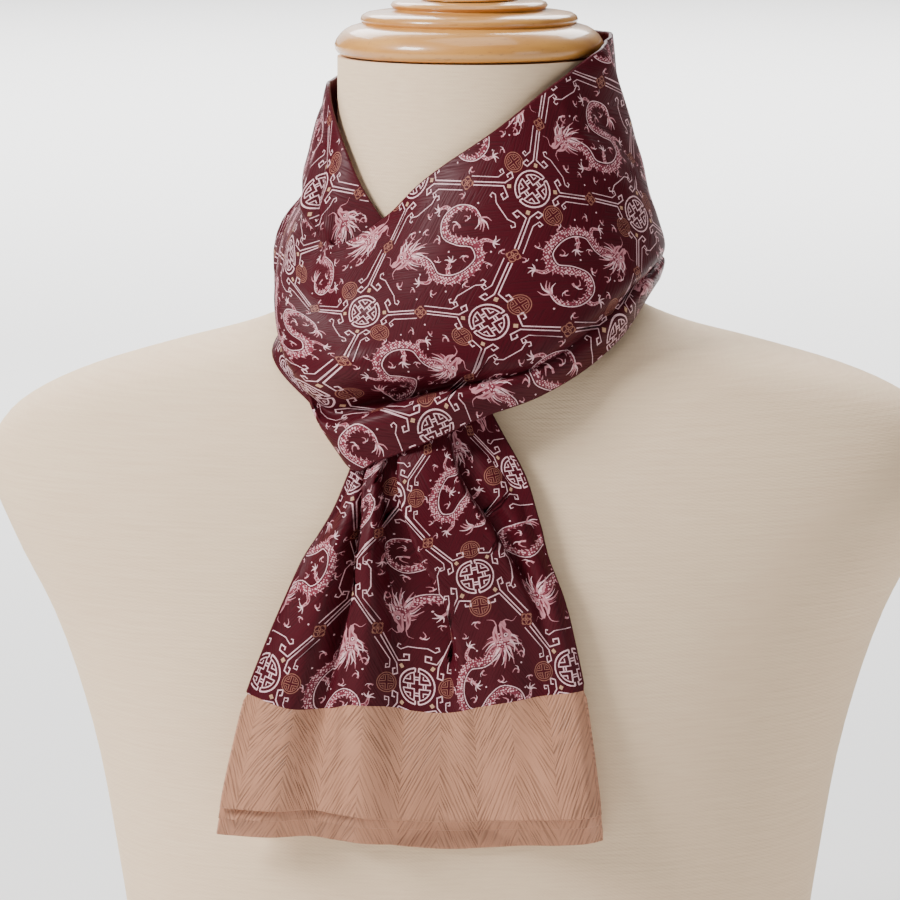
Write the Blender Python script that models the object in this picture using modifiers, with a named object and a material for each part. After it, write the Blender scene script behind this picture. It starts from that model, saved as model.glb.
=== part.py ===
"""A man's silk scarf, looped round the neck of a limbless dress form.

The scarf is folded in half, laid round the neck, and both of its ends are drawn through the fold.
The front of the form faces -Y, +X is to the viewer's right, and the form stands on z = 0.
Tables are in millimetres and degrees. Azimuth 0 is the front of the neck, 90 its right side as seen.
"""
import math

import bpy
import bmesh
import numpy as np

MM = 0.001

# Driving dimensions, in millimetres
WALL = 2.0              # two layers of silk with the air between them
GAP = 0.5               # between two stretches that meet at a seam
CLEARANCE = 1.6         # from the middle of the cloth to the linen
NECK_TOP = 470.0
NECK_RADIUS = 57.0
CAP_RADIUS = 58.3
FORM_SIDES = 48

# The form's horizontal sections, from the base up to the neck
FORM_COLUMNS = ("height", "half_width", "front", "back", "squareness")
FORM_SECTIONS = (
    (0, 143, 85, 88, 2.3),
    (60, 147, 89, 93, 2.3),
    (120, 155, 94, 100, 2.35),
    (180, 166, 97.5, 107, 2.4),
    (230, 182, 97, 109, 2.5),
    (265, 199, 94, 107, 2.6),
    (290, 208, 90, 104, 2.6),
    (308, 206, 86, 100, 2.5),
    (322, 192, 82, 95, 2.35),
    (334, 166, 78, 90, 2.2),
    (344, 132, 74, 84, 2.1),
    (352, 101, 71, 79, 2.0),
    (360, 80, 67, 73, 2.0),
    (370, 67, 62.5, 66, 2.0),
    (382, 60, 59, 61, 2.0),
    (398, NECK_RADIUS, NECK_RADIUS, NECK_RADIUS, 2.0),
    (440, NECK_RADIUS, NECK_RADIUS, NECK_RADIUS, 2.0),
    (NECK_TOP, NECK_RADIUS, NECK_RADIUS, NECK_RADIUS, 2.0),
)

# A wound stretch: each row is one line across the scarf, from its top edge to its lower edge.
# "along" is the place of the row on the scarf's length. Each key point on the row has an azimuth,
# a radius from the neck's axis and a height: the top edge, the middle, the crest of the lowest
# bulge and the lower edge. "tuck" is how deep the crease under the crest goes in.
WOUND_COLUMNS = ("along",
                 "top_azimuth", "top_radius", "top_height",
                 "mid_azimuth", "mid_radius", "mid_height",
                 "crest_azimuth", "crest_radius", "crest_height", "tuck",
                 "hem_azimuth", "hem_radius", "hem_height")
BAND_ROWS = (
    (0, -46.5, 79, 393, -27, 97, 369, -12, 106, 346, 9, -7, 103, 320),
    (23, -33, 65, 405, -17, 90, 378, -1, 103.5, 347.5, 8, 3, 100.5, 328),
    (46, -20, 62.5, 419, -5, 85, 387, 11, 101.5, 350, 6, 15, 97, 334),
    (92, 10, 61.5, 442, 25, 79, 409, 40, 92, 373, 4, 45, 87, 354),
    (138, 38, 61, 462, 52, 73.5, 427, 66, 86, 386, 3, 72, 83, 373),
    (175, 68, 61, 475, 83, 69.5, 436, 96, 82.5, 390, 2, 101, 83, 377),
    (205, 98, 61, 478, 108, 70, 437, 117, 82.5, 393, 2, 121, 83.5, 380),
)
NAPE_ROWS = (
    (205.5, 98.5, 61, 478, 108.5, 70, 437, 117.5, 82.5, 393, 2, 121.5, 83.5, 380),
    (250, 138, 61, 478, 143, 71, 437, 148, 83.5, 397, 3, 150, 85, 383),
    (300, 184, 61, 474, 184, 72, 432, 184, 85, 397, 4, 184, 86, 383),
    (350, 228, 61, 466, 225, 73, 426, 223, 86, 394, 4, 222, 87, 380),
    (385, 255, 61, 459, 248, 72, 421, 247, 84, 389, 3, 247, 85, 376),
)
BIGHT_ROWS = (
    (-110, -110, 61, 424, -110.5, 76, 403, -110.5, 83.5, 389, 1, -110.5, 85, 376),
    (-85, -97, 62, 421, -92, 78, 400, -84, 83, 384, 1, -76, 85, 370),
    (-64, -88, 62, 419, -77, 82, 392, -57, 92, 362, 1, -42, 97.5, 333),
    (-46, -80, 62, 417, -65, 86, 384, -40, 108, 338, 4, -28, 107, 306),
    (-28, -66, 62, 408, -52, 87.5, 375, -27, 108.5, 342, 9, -21, 106, 309.5),
    (-0.9, -48.1, 78.4, 391.8, -27.8, 97, 369, -12.6, 106, 346, 9, -7.6, 103, 320),
)

# The fall: rows across it, from its inner edge beside the throat to its outer edge over the bight
FALL_COLUMNS = ("inner_azimuth", "inner_radius", "inner_height",
                "outer_azimuth", "outer_radius", "outer_height", "bulge")
FALL_ROWS = (
    (-102.5, 61, 458.5, -109.5, 70, 427, -1.5),
    (-90, 61, 457, -92, 70.5, 422, -2),
    (-76, 61, 447, -80, 72, 418, -2),
    (-66, 61, 438, -70, 74.5, 413, -1.5),
    (-56, 61.2, 427, -62, 77.5, 405, -1),
    (-48, 61.5, 416, -56, 80.5, 398, 0),
    (-40, 61.8, 407, -51.5, 83, 394, 1),
    (-36, 62.2, 402, -49.5, 83.5, 393, 1),
)

# The hanging tails: outline rows down the front tail, which the rear tail follows a little lower
TAIL_COLUMNS = ("height", "left", "right", "front")
TAIL_ROWS = (
    (340, -34, 1, 88),
    (318, -42, 12, 94.5),
    (300, -51, 22, 101.5),
    (285, -58, 27, 104.5),
    (270, -67.5, 32, 106),
    (250, -77, 39.5, 107),
    (230, -85.5, 44, 107.6),
    (212, -92.5, 47.5, 108),
    (185, -99.5, 51.5, 108.5),
    (144, -108, 56.5, 109),
)
TAIL_TOP = 338.0
BORDER_LINE = 205.5     # where the printed silk ends and the champagne border starts
FRONT_HEM = 157.5
REAR_HEM = 144.5
REAR_BORDER_LINE = 196.0
EDGE_RISE = 4.5         # how much higher the hems and border lines are at the tails' edges
REAR_SETBACK = 3.6      # the rear tail lies this far behind the front one
REAR_LOWER = 4.0        # and its outline is that of a place this much higher up
TAIL_COLUMNS_ACROSS = 26

# Folds of the tails: across is 0 at the left edge and 1 at the right. Each fold runs between two
# heights, wanders from one place across to another, and fades out at its foot.
FOLD_COLUMNS = ("across_top", "across_foot", "foot_height", "width", "depth")
TAIL_FOLDS = (
    (0.04, 0.24, 226, 0.045, -6.0),
    (0.10, 0.50, 220, 0.065, -9.0),
    (0.22, 0.66, 222, 0.060, 4.5),
    (0.62, 0.98, 262, 0.070, -7.0),
)

# The wooden neck cap: its outline from the top down, as radius and height above the neck's top
CAP_OUTLINE = (
    (0, 24.0), (30, 24.0), (33, 23.4), (34, 22.0), (33, 20.6), (34.5, 19.6), (47, 18.2), (49.4, 17.0),
    (50.2, 15.0), (49.6, 12.6), (51.5, 11.7), (55.4, 11.3), (57.5, 9.6), (CAP_RADIUS, 6.0),
    (57.5, 2.4), (55, 0.6), (50, 0.3), (0, 0.3),
)
KNOB_BASE = 24.4
KNOB_OUTLINE = (
    (0, 42.0), (6, 41.4), (11.5, 39.0), (15.6, 34.6), (17.0, 29.0), (17.0, 13.0), (17.3, 6.0),
    (18.6, 2.6), (21.0, 0.8), (21.0, 0.0), (0, 0.0),
)

# Colours as the surfaces show in soft light: red, green, blue, then roughness
SILK_PRINT = (0.115, 0.028, 0.042, 0.42)
SILK_BORDER = (0.53, 0.34, 0.23, 0.40)
LINEN = (0.78, 0.72, 0.63, 0.85)
BEECH = (0.72, 0.42, 0.20, 0.28)


def column(rows, names, name):
    return np.array([row[names.index(name)] for row in rows], float)


def read_curve(keys, values, where):
    """Reads the smooth curve through (keys, values) at a place: a cubic with averaged slopes."""
    slopes = np.gradient(values, keys)
    i = int(np.clip(np.searchsorted(keys, where) - 1, 0, len(keys) - 2))
    step = keys[i + 1] - keys[i]
    t = (where - keys[i]) / step
    return ((2 * t**3 - 3 * t**2 + 1) * values[i] + (t**3 - 2 * t**2 + t) * step * slopes[i]
            + (3 * t**2 - 2 * t**3) * values[i + 1] + (t**3 - t**2) * step * slopes[i + 1])


def read_row(rows, names, where):
    """Reads every column of a table at a place along its first column."""
    keys = column(rows, names, names[0])
    if keys[0] > keys[-1]:
        rows, keys = rows[::-1], keys[::-1]
    return {name: read_curve(keys, column(rows, names, name), where) for name in names}


# ---- the dress form ----

def form_section(height):
    return read_row(FORM_SECTIONS, FORM_COLUMNS, min(max(height, 0.0), NECK_TOP))


def form_point(height, angle):
    """A point of the linen at a height, the angle being that of the section's own ellipse."""
    s = form_section(height)
    power = 2.0 / s["squareness"]
    x, y = math.sin(angle), -math.cos(angle)
    depth = s["front"] if y < 0 else s["back"]
    return (s["half_width"] * math.copysign(abs(x) ** power, x),
            depth * math.copysign(abs(y) ** power, y), height)


def form_radius(height, azimuth):
    """How far the linen is from the neck's axis in one direction."""
    s = form_section(height)
    x, y = math.sin(azimuth), -math.cos(azimuth)
    depth = s["front"] if y < 0 else s["back"]
    n = s["squareness"]
    return (abs(x / s["half_width"]) ** n + abs(y / depth) ** n) ** (-1.0 / n)


def rest_on_form(point, clearance=CLEARANCE):
    """Moves a point of the cloth out to where it rests on the linen, if it is nearer than that."""
    x, y, z = point
    azimuth = math.atan2(x, -y)
    radius = math.hypot(x, y)
    needed = max(form_radius(z + dz, azimuth) for dz in (-4.0, 0.0, 4.0)) + clearance
    if radius < needed:
        radius = needed
    return (radius * math.sin(azimuth), -radius * math.cos(azimuth), z)


# ---- the cloth, as surfaces worked out from the tables ----

def polar(azimuth, radius, height):
    a = math.radians(azimuth)
    return np.array((radius * math.sin(a), -radius * math.cos(a), height))


def wound_point(rows, along, across):
    """A point of a wound stretch: across is 0 at its top edge and 1 at its lower edge."""
    r = read_row(rows, WOUND_COLUMNS, along)
    keys = {part: np.array([r[part + "_azimuth"], r[part + "_radius"], r[part + "_height"]])
            for part in ("top", "mid", "crest", "hem")}
    pleat = 0.5 * (keys["crest"] + keys["hem"])
    crease = 0.7 * keys["crest"] + 0.3 * keys["hem"] - (0, r["tuck"], 0)
    places = np.array([0.0, 0.36, 0.68, 0.77, 0.88, 1.0])
    line = np.array([keys["top"], keys["mid"], keys["crest"], crease, pleat + (0, 1.5, 0), keys["hem"]])
    azimuth, radius, height = (read_curve(places, line[:, k], across) for k in range(3))
    return rest_on_form(polar(azimuth, radius, height), CLEARANCE)


def fall_point(along, across):
    """A point of the left fall: across is 0 at its inner edge and 1 at its outer edge."""
    keys = np.arange(len(FALL_ROWS), dtype=float)
    r = {name: read_curve(keys, column(FALL_ROWS, FALL_COLUMNS, name), along * keys[-1])
         for name in FALL_COLUMNS}
    azimuth = (1 - across) * r["inner_azimuth"] + across * r["outer_azimuth"]
    radius = (1 - across) * r["inner_radius"] + across * r["outer_radius"]
    radius += r["bulge"] * math.sin(math.pi * across)
    height = (1 - across) * r["inner_height"] + across * r["outer_height"]
    return polar(azimuth, radius, height)


def fold_depth(across, height):
    """How far the tail's folds push the cloth forward at a place on it."""
    total = 0.0
    start = min(1.0, (TAIL_TOP + 4 - height) / 26)
    for top, foot, foot_height, width, depth in TAIL_FOLDS:
        down = (TAIL_TOP - height) / (TAIL_TOP - foot_height)
        if down >= 1.0:
            continue
        centre = top + (foot - top) * down
        spread = width * (1.0 + 0.8 * down)
        total += start * depth * (1.0 - down) ** 0.8 * math.exp(-((across - centre) / spread) ** 2)
    return total


def tail_point(height, across, setback, lower):
    """A point of a tail; the rear tail is set back, and its outline is that of a place higher up."""
    r = read_row(TAIL_ROWS, TAIL_COLUMNS, min(height + lower, TAIL_ROWS[0][0]))
    x = (1 - across) * r["left"] + across * r["right"]
    edge = (2 * across - 1) ** 2 * (1.5 + 0.13 * max(0.0, height - 260))
    y = -r["front"] - fold_depth(across, height) + setback + edge
    return rest_on_form((x, y, height), CLEARANCE + REAR_SETBACK - setback)


# ---- building ----

def clear_scene():
    for thing in list(bpy.data.objects):
        bpy.data.objects.remove(thing, do_unlink=True)


def finish_material(name, look):
    material = bpy.data.materials.new(name)
    material.use_nodes = True
    shader = material.node_tree.nodes["Principled BSDF"]
    shader.inputs["Base Color"].default_value = (look[0], look[1], look[2], 1.0)
    shader.inputs["Roughness"].default_value = look[3]
    shader.inputs["Metallic"].default_value = 0.0
    material.diffuse_color = (look[0], look[1], look[2], 1.0)
    return material


def add_object(name, mesh, look, collection):
    mesh.shade_smooth()
    mesh.set_sharp_from_angle(angle=math.radians(40))
    thing = bpy.data.objects.new(name, mesh)
    thing.data.materials.append(finish_material(name + "_finish", look))
    collection.objects.link(thing)
    return thing


def cloth_sheet(name, place, columns, rows, look, collection):
    """A flat grid whose points are moved onto the cloth's surface, given its wall by Solidify."""
    work = bmesh.new()
    bmesh.ops.create_grid(work, x_segments=columns, y_segments=rows, size=0.5)
    for vertex in work.verts:
        point = place(vertex.co.x + 0.5, vertex.co.y + 0.5)
        vertex.co = [value * MM for value in point]
    mesh = bpy.data.meshes.new(name)
    work.to_mesh(mesh)
    work.free()
    thing = add_object(name, mesh, look, collection)
    wall = thing.modifiers.new("wall", "SOLIDIFY")
    wall.thickness = WALL * MM
    wall.offset = 0.0
    return thing


def wound_sheet(name, rows, columns, across_steps, collection):
    start, end = rows[0][0], rows[-1][0]
    return cloth_sheet(name, lambda s, t: wound_point(rows, start + (end - start) * s, t),
                       columns, across_steps, SILK_PRINT, collection)


def tail_sheet(name, top, foot, tail, rows, look, collection):
    """A stretch of a tail between two heights, which both rise a little at the tail's edges."""
    setback, lower = tail

    def place(across, down):
        height = top + (foot - top) * down + EDGE_RISE * (2 * across - 1) ** 2
        return tail_point(height, across, setback, lower)

    return cloth_sheet(name, place, TAIL_COLUMNS_ACROSS, rows, look, collection)


def turned(name, outline, base, look, collection):
    """A turned piece: its half outline, top to bottom, carried round the axis by Screw."""
    mesh = bpy.data.meshes.new(name)
    points = [(radius * MM, 0.0, (base + height) * MM) for radius, height in outline]
    mesh.from_pydata(points, [(i, i + 1) for i in range(len(points) - 1)], [])
    thing = add_object(name, mesh, look, collection)
    screw = thing.modifiers.new("turn", "SCREW")
    screw.steps = FORM_SIDES
    screw.render_steps = FORM_SIDES
    screw.use_merge_vertices = True
    screw.merge_threshold = 0.00005
    return thing


def form_body(collection):
    """The linen torso: a loft through its sections, closed flat at the base and under the cap."""
    work = bmesh.new()
    heights = []
    for low, high in zip(FORM_SECTIONS, FORM_SECTIONS[1:]):
        heights += [low[0], 0.5 * (low[0] + high[0])]
    heights.append(NECK_TOP)
    rings = []
    for height in heights:
        angles = [2 * math.pi * k / FORM_SIDES for k in range(FORM_SIDES)]
        rings.append([work.verts.new([v * MM for v in form_point(height, a)]) for a in angles])
    for lower, upper in zip(rings, rings[1:]):
        for k in range(FORM_SIDES):
            j = (k + 1) % FORM_SIDES
            work.faces.new((lower[k], lower[j], upper[j], upper[k]))
    work.faces.new(rings[0][::-1])
    work.faces.new(rings[-1])
    bmesh.ops.recalc_face_normals(work, faces=work.faces)
    mesh = bpy.data.meshes.new("form_body")
    work.to_mesh(mesh)
    work.free()
    return add_object("form_body", mesh, LINEN, collection)


def build():
    clear_scene()
    collection = bpy.data.collections.new("ascot_scarf")
    bpy.context.scene.collection.children.link(collection)
    form_body(collection)
    turned("neck_cap", CAP_OUTLINE, NECK_TOP, BEECH, collection)
    turned("cap_knob", KNOB_OUTLINE, NECK_TOP + KNOB_BASE, BEECH, collection)
    wound_sheet("band_front", BAND_ROWS, 26, 12, collection)
    wound_sheet("bight_turn", BIGHT_ROWS, 12, 12, collection)
    wound_sheet("nape_wrap", NAPE_ROWS, 18, 10, collection)
    cloth_sheet("left_fall", fall_point, 12, 5, SILK_PRINT, collection)

    front = (0.0, 0.0)
    rear = (REAR_SETBACK, REAR_LOWER)
    tail_sheet("front_tail", TAIL_TOP, BORDER_LINE + GAP / 2, front, 12, SILK_PRINT, collection)
    tail_sheet("front_tail_border", BORDER_LINE - GAP / 2, FRONT_HEM, front, 4, SILK_BORDER, collection)
    tail_sheet("rear_tail", TAIL_TOP - REAR_LOWER, REAR_BORDER_LINE + GAP / 2, rear, 10,
               SILK_PRINT, collection)
    tail_sheet("rear_tail_border", REAR_BORDER_LINE - GAP / 2, REAR_HEM, rear, 4,
               SILK_BORDER, collection)


build()
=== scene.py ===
# %% [markdown]
# # A silk scarf looped on a dress form
#
# The scarf is a long narrow tube of printed silk with a champagne border at each end. It is folded in
# half, laid round the neck, and both ends are drawn through the fold. The imported construction model
# gives every place and size here, so it is loaded first.

# %% Load the frame
import math

import bmesh
import bpy
import numpy as np
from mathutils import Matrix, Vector
from mathutils.geometry import delaunay_2d_cdt


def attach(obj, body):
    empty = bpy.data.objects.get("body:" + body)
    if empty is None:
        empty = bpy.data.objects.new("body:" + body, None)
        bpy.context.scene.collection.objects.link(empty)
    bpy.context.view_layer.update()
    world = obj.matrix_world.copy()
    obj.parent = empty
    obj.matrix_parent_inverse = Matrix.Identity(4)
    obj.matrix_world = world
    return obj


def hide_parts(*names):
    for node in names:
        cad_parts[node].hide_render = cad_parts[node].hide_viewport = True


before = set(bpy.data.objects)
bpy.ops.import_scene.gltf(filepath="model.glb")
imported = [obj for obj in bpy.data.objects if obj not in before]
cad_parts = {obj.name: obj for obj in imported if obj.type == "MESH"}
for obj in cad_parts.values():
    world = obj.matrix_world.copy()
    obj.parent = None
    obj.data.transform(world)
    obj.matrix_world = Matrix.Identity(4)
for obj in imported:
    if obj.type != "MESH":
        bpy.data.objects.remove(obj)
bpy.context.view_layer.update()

MM = 0.001      # one millimetre in metres

# %% [markdown]
# ## The camera
#
# The camera looks a little down at the chest from two metres away, through a long lens. A long lens
# keeps the hem and the neck at nearly the same scale, as in the photograph. Its distance and pitch were
# worked out from the ellipse of the neck cap's rim, whose real size is known.

# %% Camera
CAMERA_DISTANCE = 2.0
CAMERA_PITCH = math.radians(9.0)
FRAME_CENTRE = Vector((-8.3 * MM, 0.0, 297.5 * MM))
FOCAL_PIXELS = 4566.0
FRAME_PIXELS = 900.0
SENSOR_MM = 36.0

looking = Vector((0.0, math.cos(CAMERA_PITCH), -math.sin(CAMERA_PITCH)))
bpy.ops.object.camera_add(location=FRAME_CENTRE - CAMERA_DISTANCE * looking,
                          rotation=(math.pi / 2 - CAMERA_PITCH, 0.0, 0.0))
camera = bpy.context.object
camera.data.sensor_width = SENSOR_MM
camera.data.lens = SENSOR_MM * FOCAL_PIXELS / FRAME_PIXELS
camera.data.clip_end = 50.0
bpy.context.scene.camera = camera
print("lens, mm:", round(camera.data.lens, 1))

# %% [markdown]
# ## Floor and light
#
# Silk shows its form through broad soft highlights, so the light comes from large panels: one on the
# left in front, a weaker one on the right, and one overhead. The floor is plain and pale.

# %% Floor and lights
FLOOR_SIZE = 40.0
FLOOR_COLOUR = (0.80, 0.795, 0.79, 1.0)
THROAT = (0.0, 0.0, 0.33)
LIGHTS = (
    # name, place, what it shines at, size in metres, watts
    ("key_panel", (-1.75, -1.10, 1.90), THROAT, 0.8, 104.0),
    ("fill_panel", (1.9, -1.6, 0.5), THROAT, 1.0, 7.0),
    ("top_panel", (0.1, -0.2, 2.1), THROAT, 1.2, 12.0),
    ("back_panel", (-0.6, 2.0, 1.2), THROAT, 1.4, 10.0),
    ("floor_panel", (0.0, 5.5, 3.5), (0.0, 5.5, 0.0), 6.0, 1150.0),
)
SKY_COLOUR = (0.93, 0.93, 0.94, 1.0)
SKY_STRENGTH = 0.11


def plain_material(name, colour, roughness):
    """One even colour, which a caller may cover with nodes of its own."""
    material = bpy.data.materials.new(name)
    material.use_nodes = True
    shader = material.node_tree.nodes["Principled BSDF"]
    shader.inputs["Base Color"].default_value = colour
    shader.inputs["Roughness"].default_value = roughness
    return material


def deselect_all():
    """Leaves edit mode and clears the selection, so that the next tool takes only what it is given."""
    if bpy.context.object and bpy.context.object.mode != "OBJECT":
        bpy.ops.object.mode_set(mode="OBJECT")
    bpy.ops.object.select_all(action="DESELECT")


deselect_all()
bpy.ops.mesh.primitive_plane_add(size=FLOOR_SIZE, location=(0.0, FLOOR_SIZE / 4, 0.0))
floor = bpy.context.object
floor.name = "floor"
floor.data.materials.append(plain_material("floor_paint", FLOOR_COLOUR, 0.9))

for name, place, target, size, watts in LIGHTS:
    aim = Vector(target) - Vector(place)
    bpy.ops.object.light_add(type="AREA", location=place, rotation=aim.to_track_quat("-Z", "Y").to_euler())
    lamp = bpy.context.object
    lamp.name = name
    lamp.data.size = size
    lamp.data.energy = watts

world = bpy.context.scene.world or bpy.data.worlds.new("studio")
bpy.context.scene.world = world
world.use_nodes = True
sky = world.node_tree.nodes["Background"]
sky.inputs["Color"].default_value = SKY_COLOUR
sky.inputs["Strength"].default_value = SKY_STRENGTH
print("lights:", len(LIGHTS))

# %% [markdown]
# ## Smooth curves from short tables
#
# Everything soft here is drawn from short tables of places, the same ones that the construction model
# uses. A tailor's pattern works like this too: a few marked points, joined by smooth curves. One
# function reads such a table at any place between its rows, and another reads along each row.

# %% Reading a table smoothly
def eased_between(first, second, first_slope, second_slope, step, t):
    """The smooth curve from one value to the next, t of the way, with a slope at each."""
    return ((2 * t**3 - 3 * t**2 + 1) * first + (t**3 - 2 * t**2 + t) * step * first_slope
            + (3 * t**2 - 2 * t**3) * second + (t**3 - t**2) * step * second_slope)


def smooth_between(keys, values, where):
    """The smooth curve through (keys, values), read at many places at once."""
    keys = np.asarray(keys, float)
    values = np.asarray(values, float)
    where = np.asarray(where, float)
    slopes = np.gradient(values, keys, axis=0)
    i = np.clip(np.searchsorted(keys, where) - 1, 0, len(keys) - 2)
    step = keys[i + 1] - keys[i]
    t = (where - keys[i]) / step
    if values.ndim == 2:
        step, t = step[:, None], t[:, None]
    return eased_between(values[i], values[i + 1], slopes[i], slopes[i + 1], step, t)


def smooth_in_rows(places, rows, where):
    """The smooth curve through each row's values, which all stand at the same places, read once a row."""
    slopes = np.gradient(rows, places, axis=1)
    i = np.clip(np.searchsorted(places, where) - 1, 0, len(places) - 2)
    step = places[i + 1] - places[i]
    t = (where - places[i]) / step
    if rows.ndim == 3:
        step, t = step[:, None], t[:, None]
    n = np.arange(len(i))
    return eased_between(rows[n, i], rows[n, i + 1], slopes[n, i], slopes[n, i + 1], step, t)


print("halfway up an even slope from 0 to 1:", float(smooth_between((0, 1, 2), (0, 1, 2), [0.5])[0]))

# %% [markdown]
# ## The dress form
#
# A dress form is papier-mâché or foam under tightly drawn linen. Its neck is a plain cylinder, and the
# shoulders slope away to rounded stumps. It is modelled from a circle, extruded upwards ring by ring,
# with each ring moved to its section of the torso, as a figure is built from tape measurements.

# %% Sections of the form
NECK_RADIUS = 57.0
NECK_TOP = 470.0
FORM_SECTIONS = np.array((
    # height, half width, depth in front, depth behind, squareness of the section
    (0, 143, 85, 88, 2.3),
    (60, 147, 89, 93, 2.3),
    (120, 155, 94, 100, 2.35),
    (180, 166, 97.5, 107, 2.4),
    (230, 182, 97, 109, 2.5),
    (265, 199, 94, 107, 2.6),
    (290, 208, 90, 104, 2.6),
    (308, 206, 86, 100, 2.5),
    (322, 192, 82, 95, 2.35),
    (334, 166, 78, 90, 2.2),
    (344, 132, 74, 84, 2.1),
    (352, 101, 71, 79, 2.0),
    (360, 80, 67, 73, 2.0),
    (370, 67, 62.5, 66, 2.0),
    (382, 60, 59, 61, 2.0),
    (398, NECK_RADIUS, NECK_RADIUS, NECK_RADIUS, 2.0),
    (440, NECK_RADIUS, NECK_RADIUS, NECK_RADIUS, 2.0),
    (NECK_TOP, NECK_RADIUS, NECK_RADIUS, NECK_RADIUS, 2.0),
), float)
FORM_SIDES = 144


def form_ring(height, sides):
    """One horizontal ring of the form, as points in metres: a rounded, somewhat squared oval."""
    _, half_width, front, back, square = smooth_between(FORM_SECTIONS[:, 0], FORM_SECTIONS, [height])[0]
    angles = 2 * np.pi * np.arange(sides) / sides
    x, y = np.sin(angles), -np.cos(angles)
    power = 2.0 / square
    depth = np.where(y < 0, front, back)
    return MM * np.column_stack((half_width * np.sign(x) * np.abs(x) ** power,
                                 depth * np.sign(y) * np.abs(y) ** power,
                                 np.full(sides, float(height))))


def form_radius(height, azimuth):
    """How far the linen is from the neck's axis, for many heights and directions at once."""
    section = smooth_between(FORM_SECTIONS[:, 0], FORM_SECTIONS, np.clip(height, 0.0, NECK_TOP))
    x, y = np.sin(azimuth), -np.cos(azimuth)
    depth = np.where(y < 0, section[:, 2], section[:, 3])
    n = section[:, 4]
    return (np.abs(x / section[:, 1]) ** n + np.abs(y / depth) ** n) ** (-1.0 / n)


print("shoulders, mm wide:", round(2 * FORM_SECTIONS[:, 1].max()), "neck, mm across:", round(2 * NECK_RADIUS))

# %% [markdown]
# ### Raising it from a circle
#
# The lowest ring is a plain circle. It is extruded once for each height, and each new ring is moved
# onto its section, so the edges run level round the torso as the tapes of a wire form do.

# %% Extruding the form
FORM_PARTS = 4         # rings between two rows of the table, so that the shoulders are round
FORM_EDGE_ANGLE = math.radians(50)
START_TURN = 1e-4      # keeps the first point of a ring from counting as the last


def set_selected_ring(mesh, points):
    """Moves the selected ring of vertices, taken in order round the axis, onto the given points."""
    work = bmesh.from_edit_mesh(mesh)
    ring = sorted((v for v in work.verts if v.select),
                  key=lambda v: (math.atan2(v.co.x, -v.co.y) + START_TURN) % (2 * math.pi))
    for vertex, point in zip(ring, points):
        vertex.co = point
    bmesh.update_edit_mesh(mesh)


def finer_heights(parts):
    """The table's heights, with more between each two."""
    keys = FORM_SECTIONS[:, 0]
    steps = [np.linspace(low, high, parts + 1)[:-1] for low, high in zip(keys[:-1], keys[1:])]
    return list(np.concatenate(steps)) + [NECK_TOP]


deselect_all()
bpy.ops.mesh.primitive_circle_add(vertices=FORM_SIDES, radius=NECK_RADIUS * MM, fill_type="NGON")
form = bpy.context.object
form.name = "linen_form"
bpy.ops.object.mode_set(mode="EDIT")
bpy.ops.mesh.select_all(action="SELECT")
set_selected_ring(form.data, form_ring(0.0, FORM_SIDES))
for height in finer_heights(FORM_PARTS)[1:]:
    bpy.ops.mesh.extrude_region_move(TRANSFORM_OT_translate={"value": (0, 0, 0)})
    set_selected_ring(form.data, form_ring(height, FORM_SIDES))
bpy.ops.mesh.select_all(action="SELECT")
bpy.ops.mesh.normals_make_consistent(inside=False)
bpy.ops.object.mode_set(mode="OBJECT")
bpy.ops.object.shade_smooth_by_angle(angle=FORM_EDGE_ANGLE)
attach(form, "root")
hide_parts("form_body")
print("form faces:", len(form.data.polygons))

# %% [markdown]
# ## The neck cap and its knob
#
# The cap is turned on a lathe from one piece of beech: a broad rounded rim, a narrow groove, a second
# step and a flat top, with a knob that screws into it. Spin does in Blender what the lathe does in the
# workshop, so half of the outline is drawn point by point and then spun round the axis.

# %% Turning the cap and the knob
CAP_OUTLINE = (
    # radius, height above the top of the neck
    # the top step
    (0, 24.0), (28, 24.0), (31.6, 23.8), (33.2, 23.2), (34, 22.0), (33.4, 21.0), (32.9, 20.6),
    # the middle step
    (33.1, 20.1), (35, 19.7), (41, 19.2), (44.6, 18.6), (46.4, 17.5), (47.0, 16.0), (46.7, 14.9),
    (46.2, 14.3),
    # the sloping shoulder, the round edge and the underside
    (46.6, 13.9), (48.6, 13.5), (51.6, 12.6), (54.0, 11.2), (56.0, 9.3), (57.5, 7.2), (58.2, 5.2),
    (58.0, 3.2), (57.0, 1.7), (55.4, 0.8), (53.0, 0.35), (45, 0.3), (0, 0.3),
)
KNOB_BASE = 24.4
KNOB_OUTLINE = (
    # the round end, the shank, and the flare where it meets the cap
    (0, 42.0), (3.5, 41.9), (7.5, 41.1), (11.5, 39.2), (14.6, 36.3), (16.4, 32.7), (17.0, 28.6),
    (17.0, 22), (17.0, 13.0), (17.1, 7.5),
    (17.5, 4.8), (18.3, 2.8), (19.4, 1.6), (20.6, 1.0), (21.0, 0.6), (20.8, 0.0), (0, 0.0),
)
LATHE_STEPS = 128
TURNED_EDGE_ANGLE = math.radians(60)     # a sharper edge than this stays an edge


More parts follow.
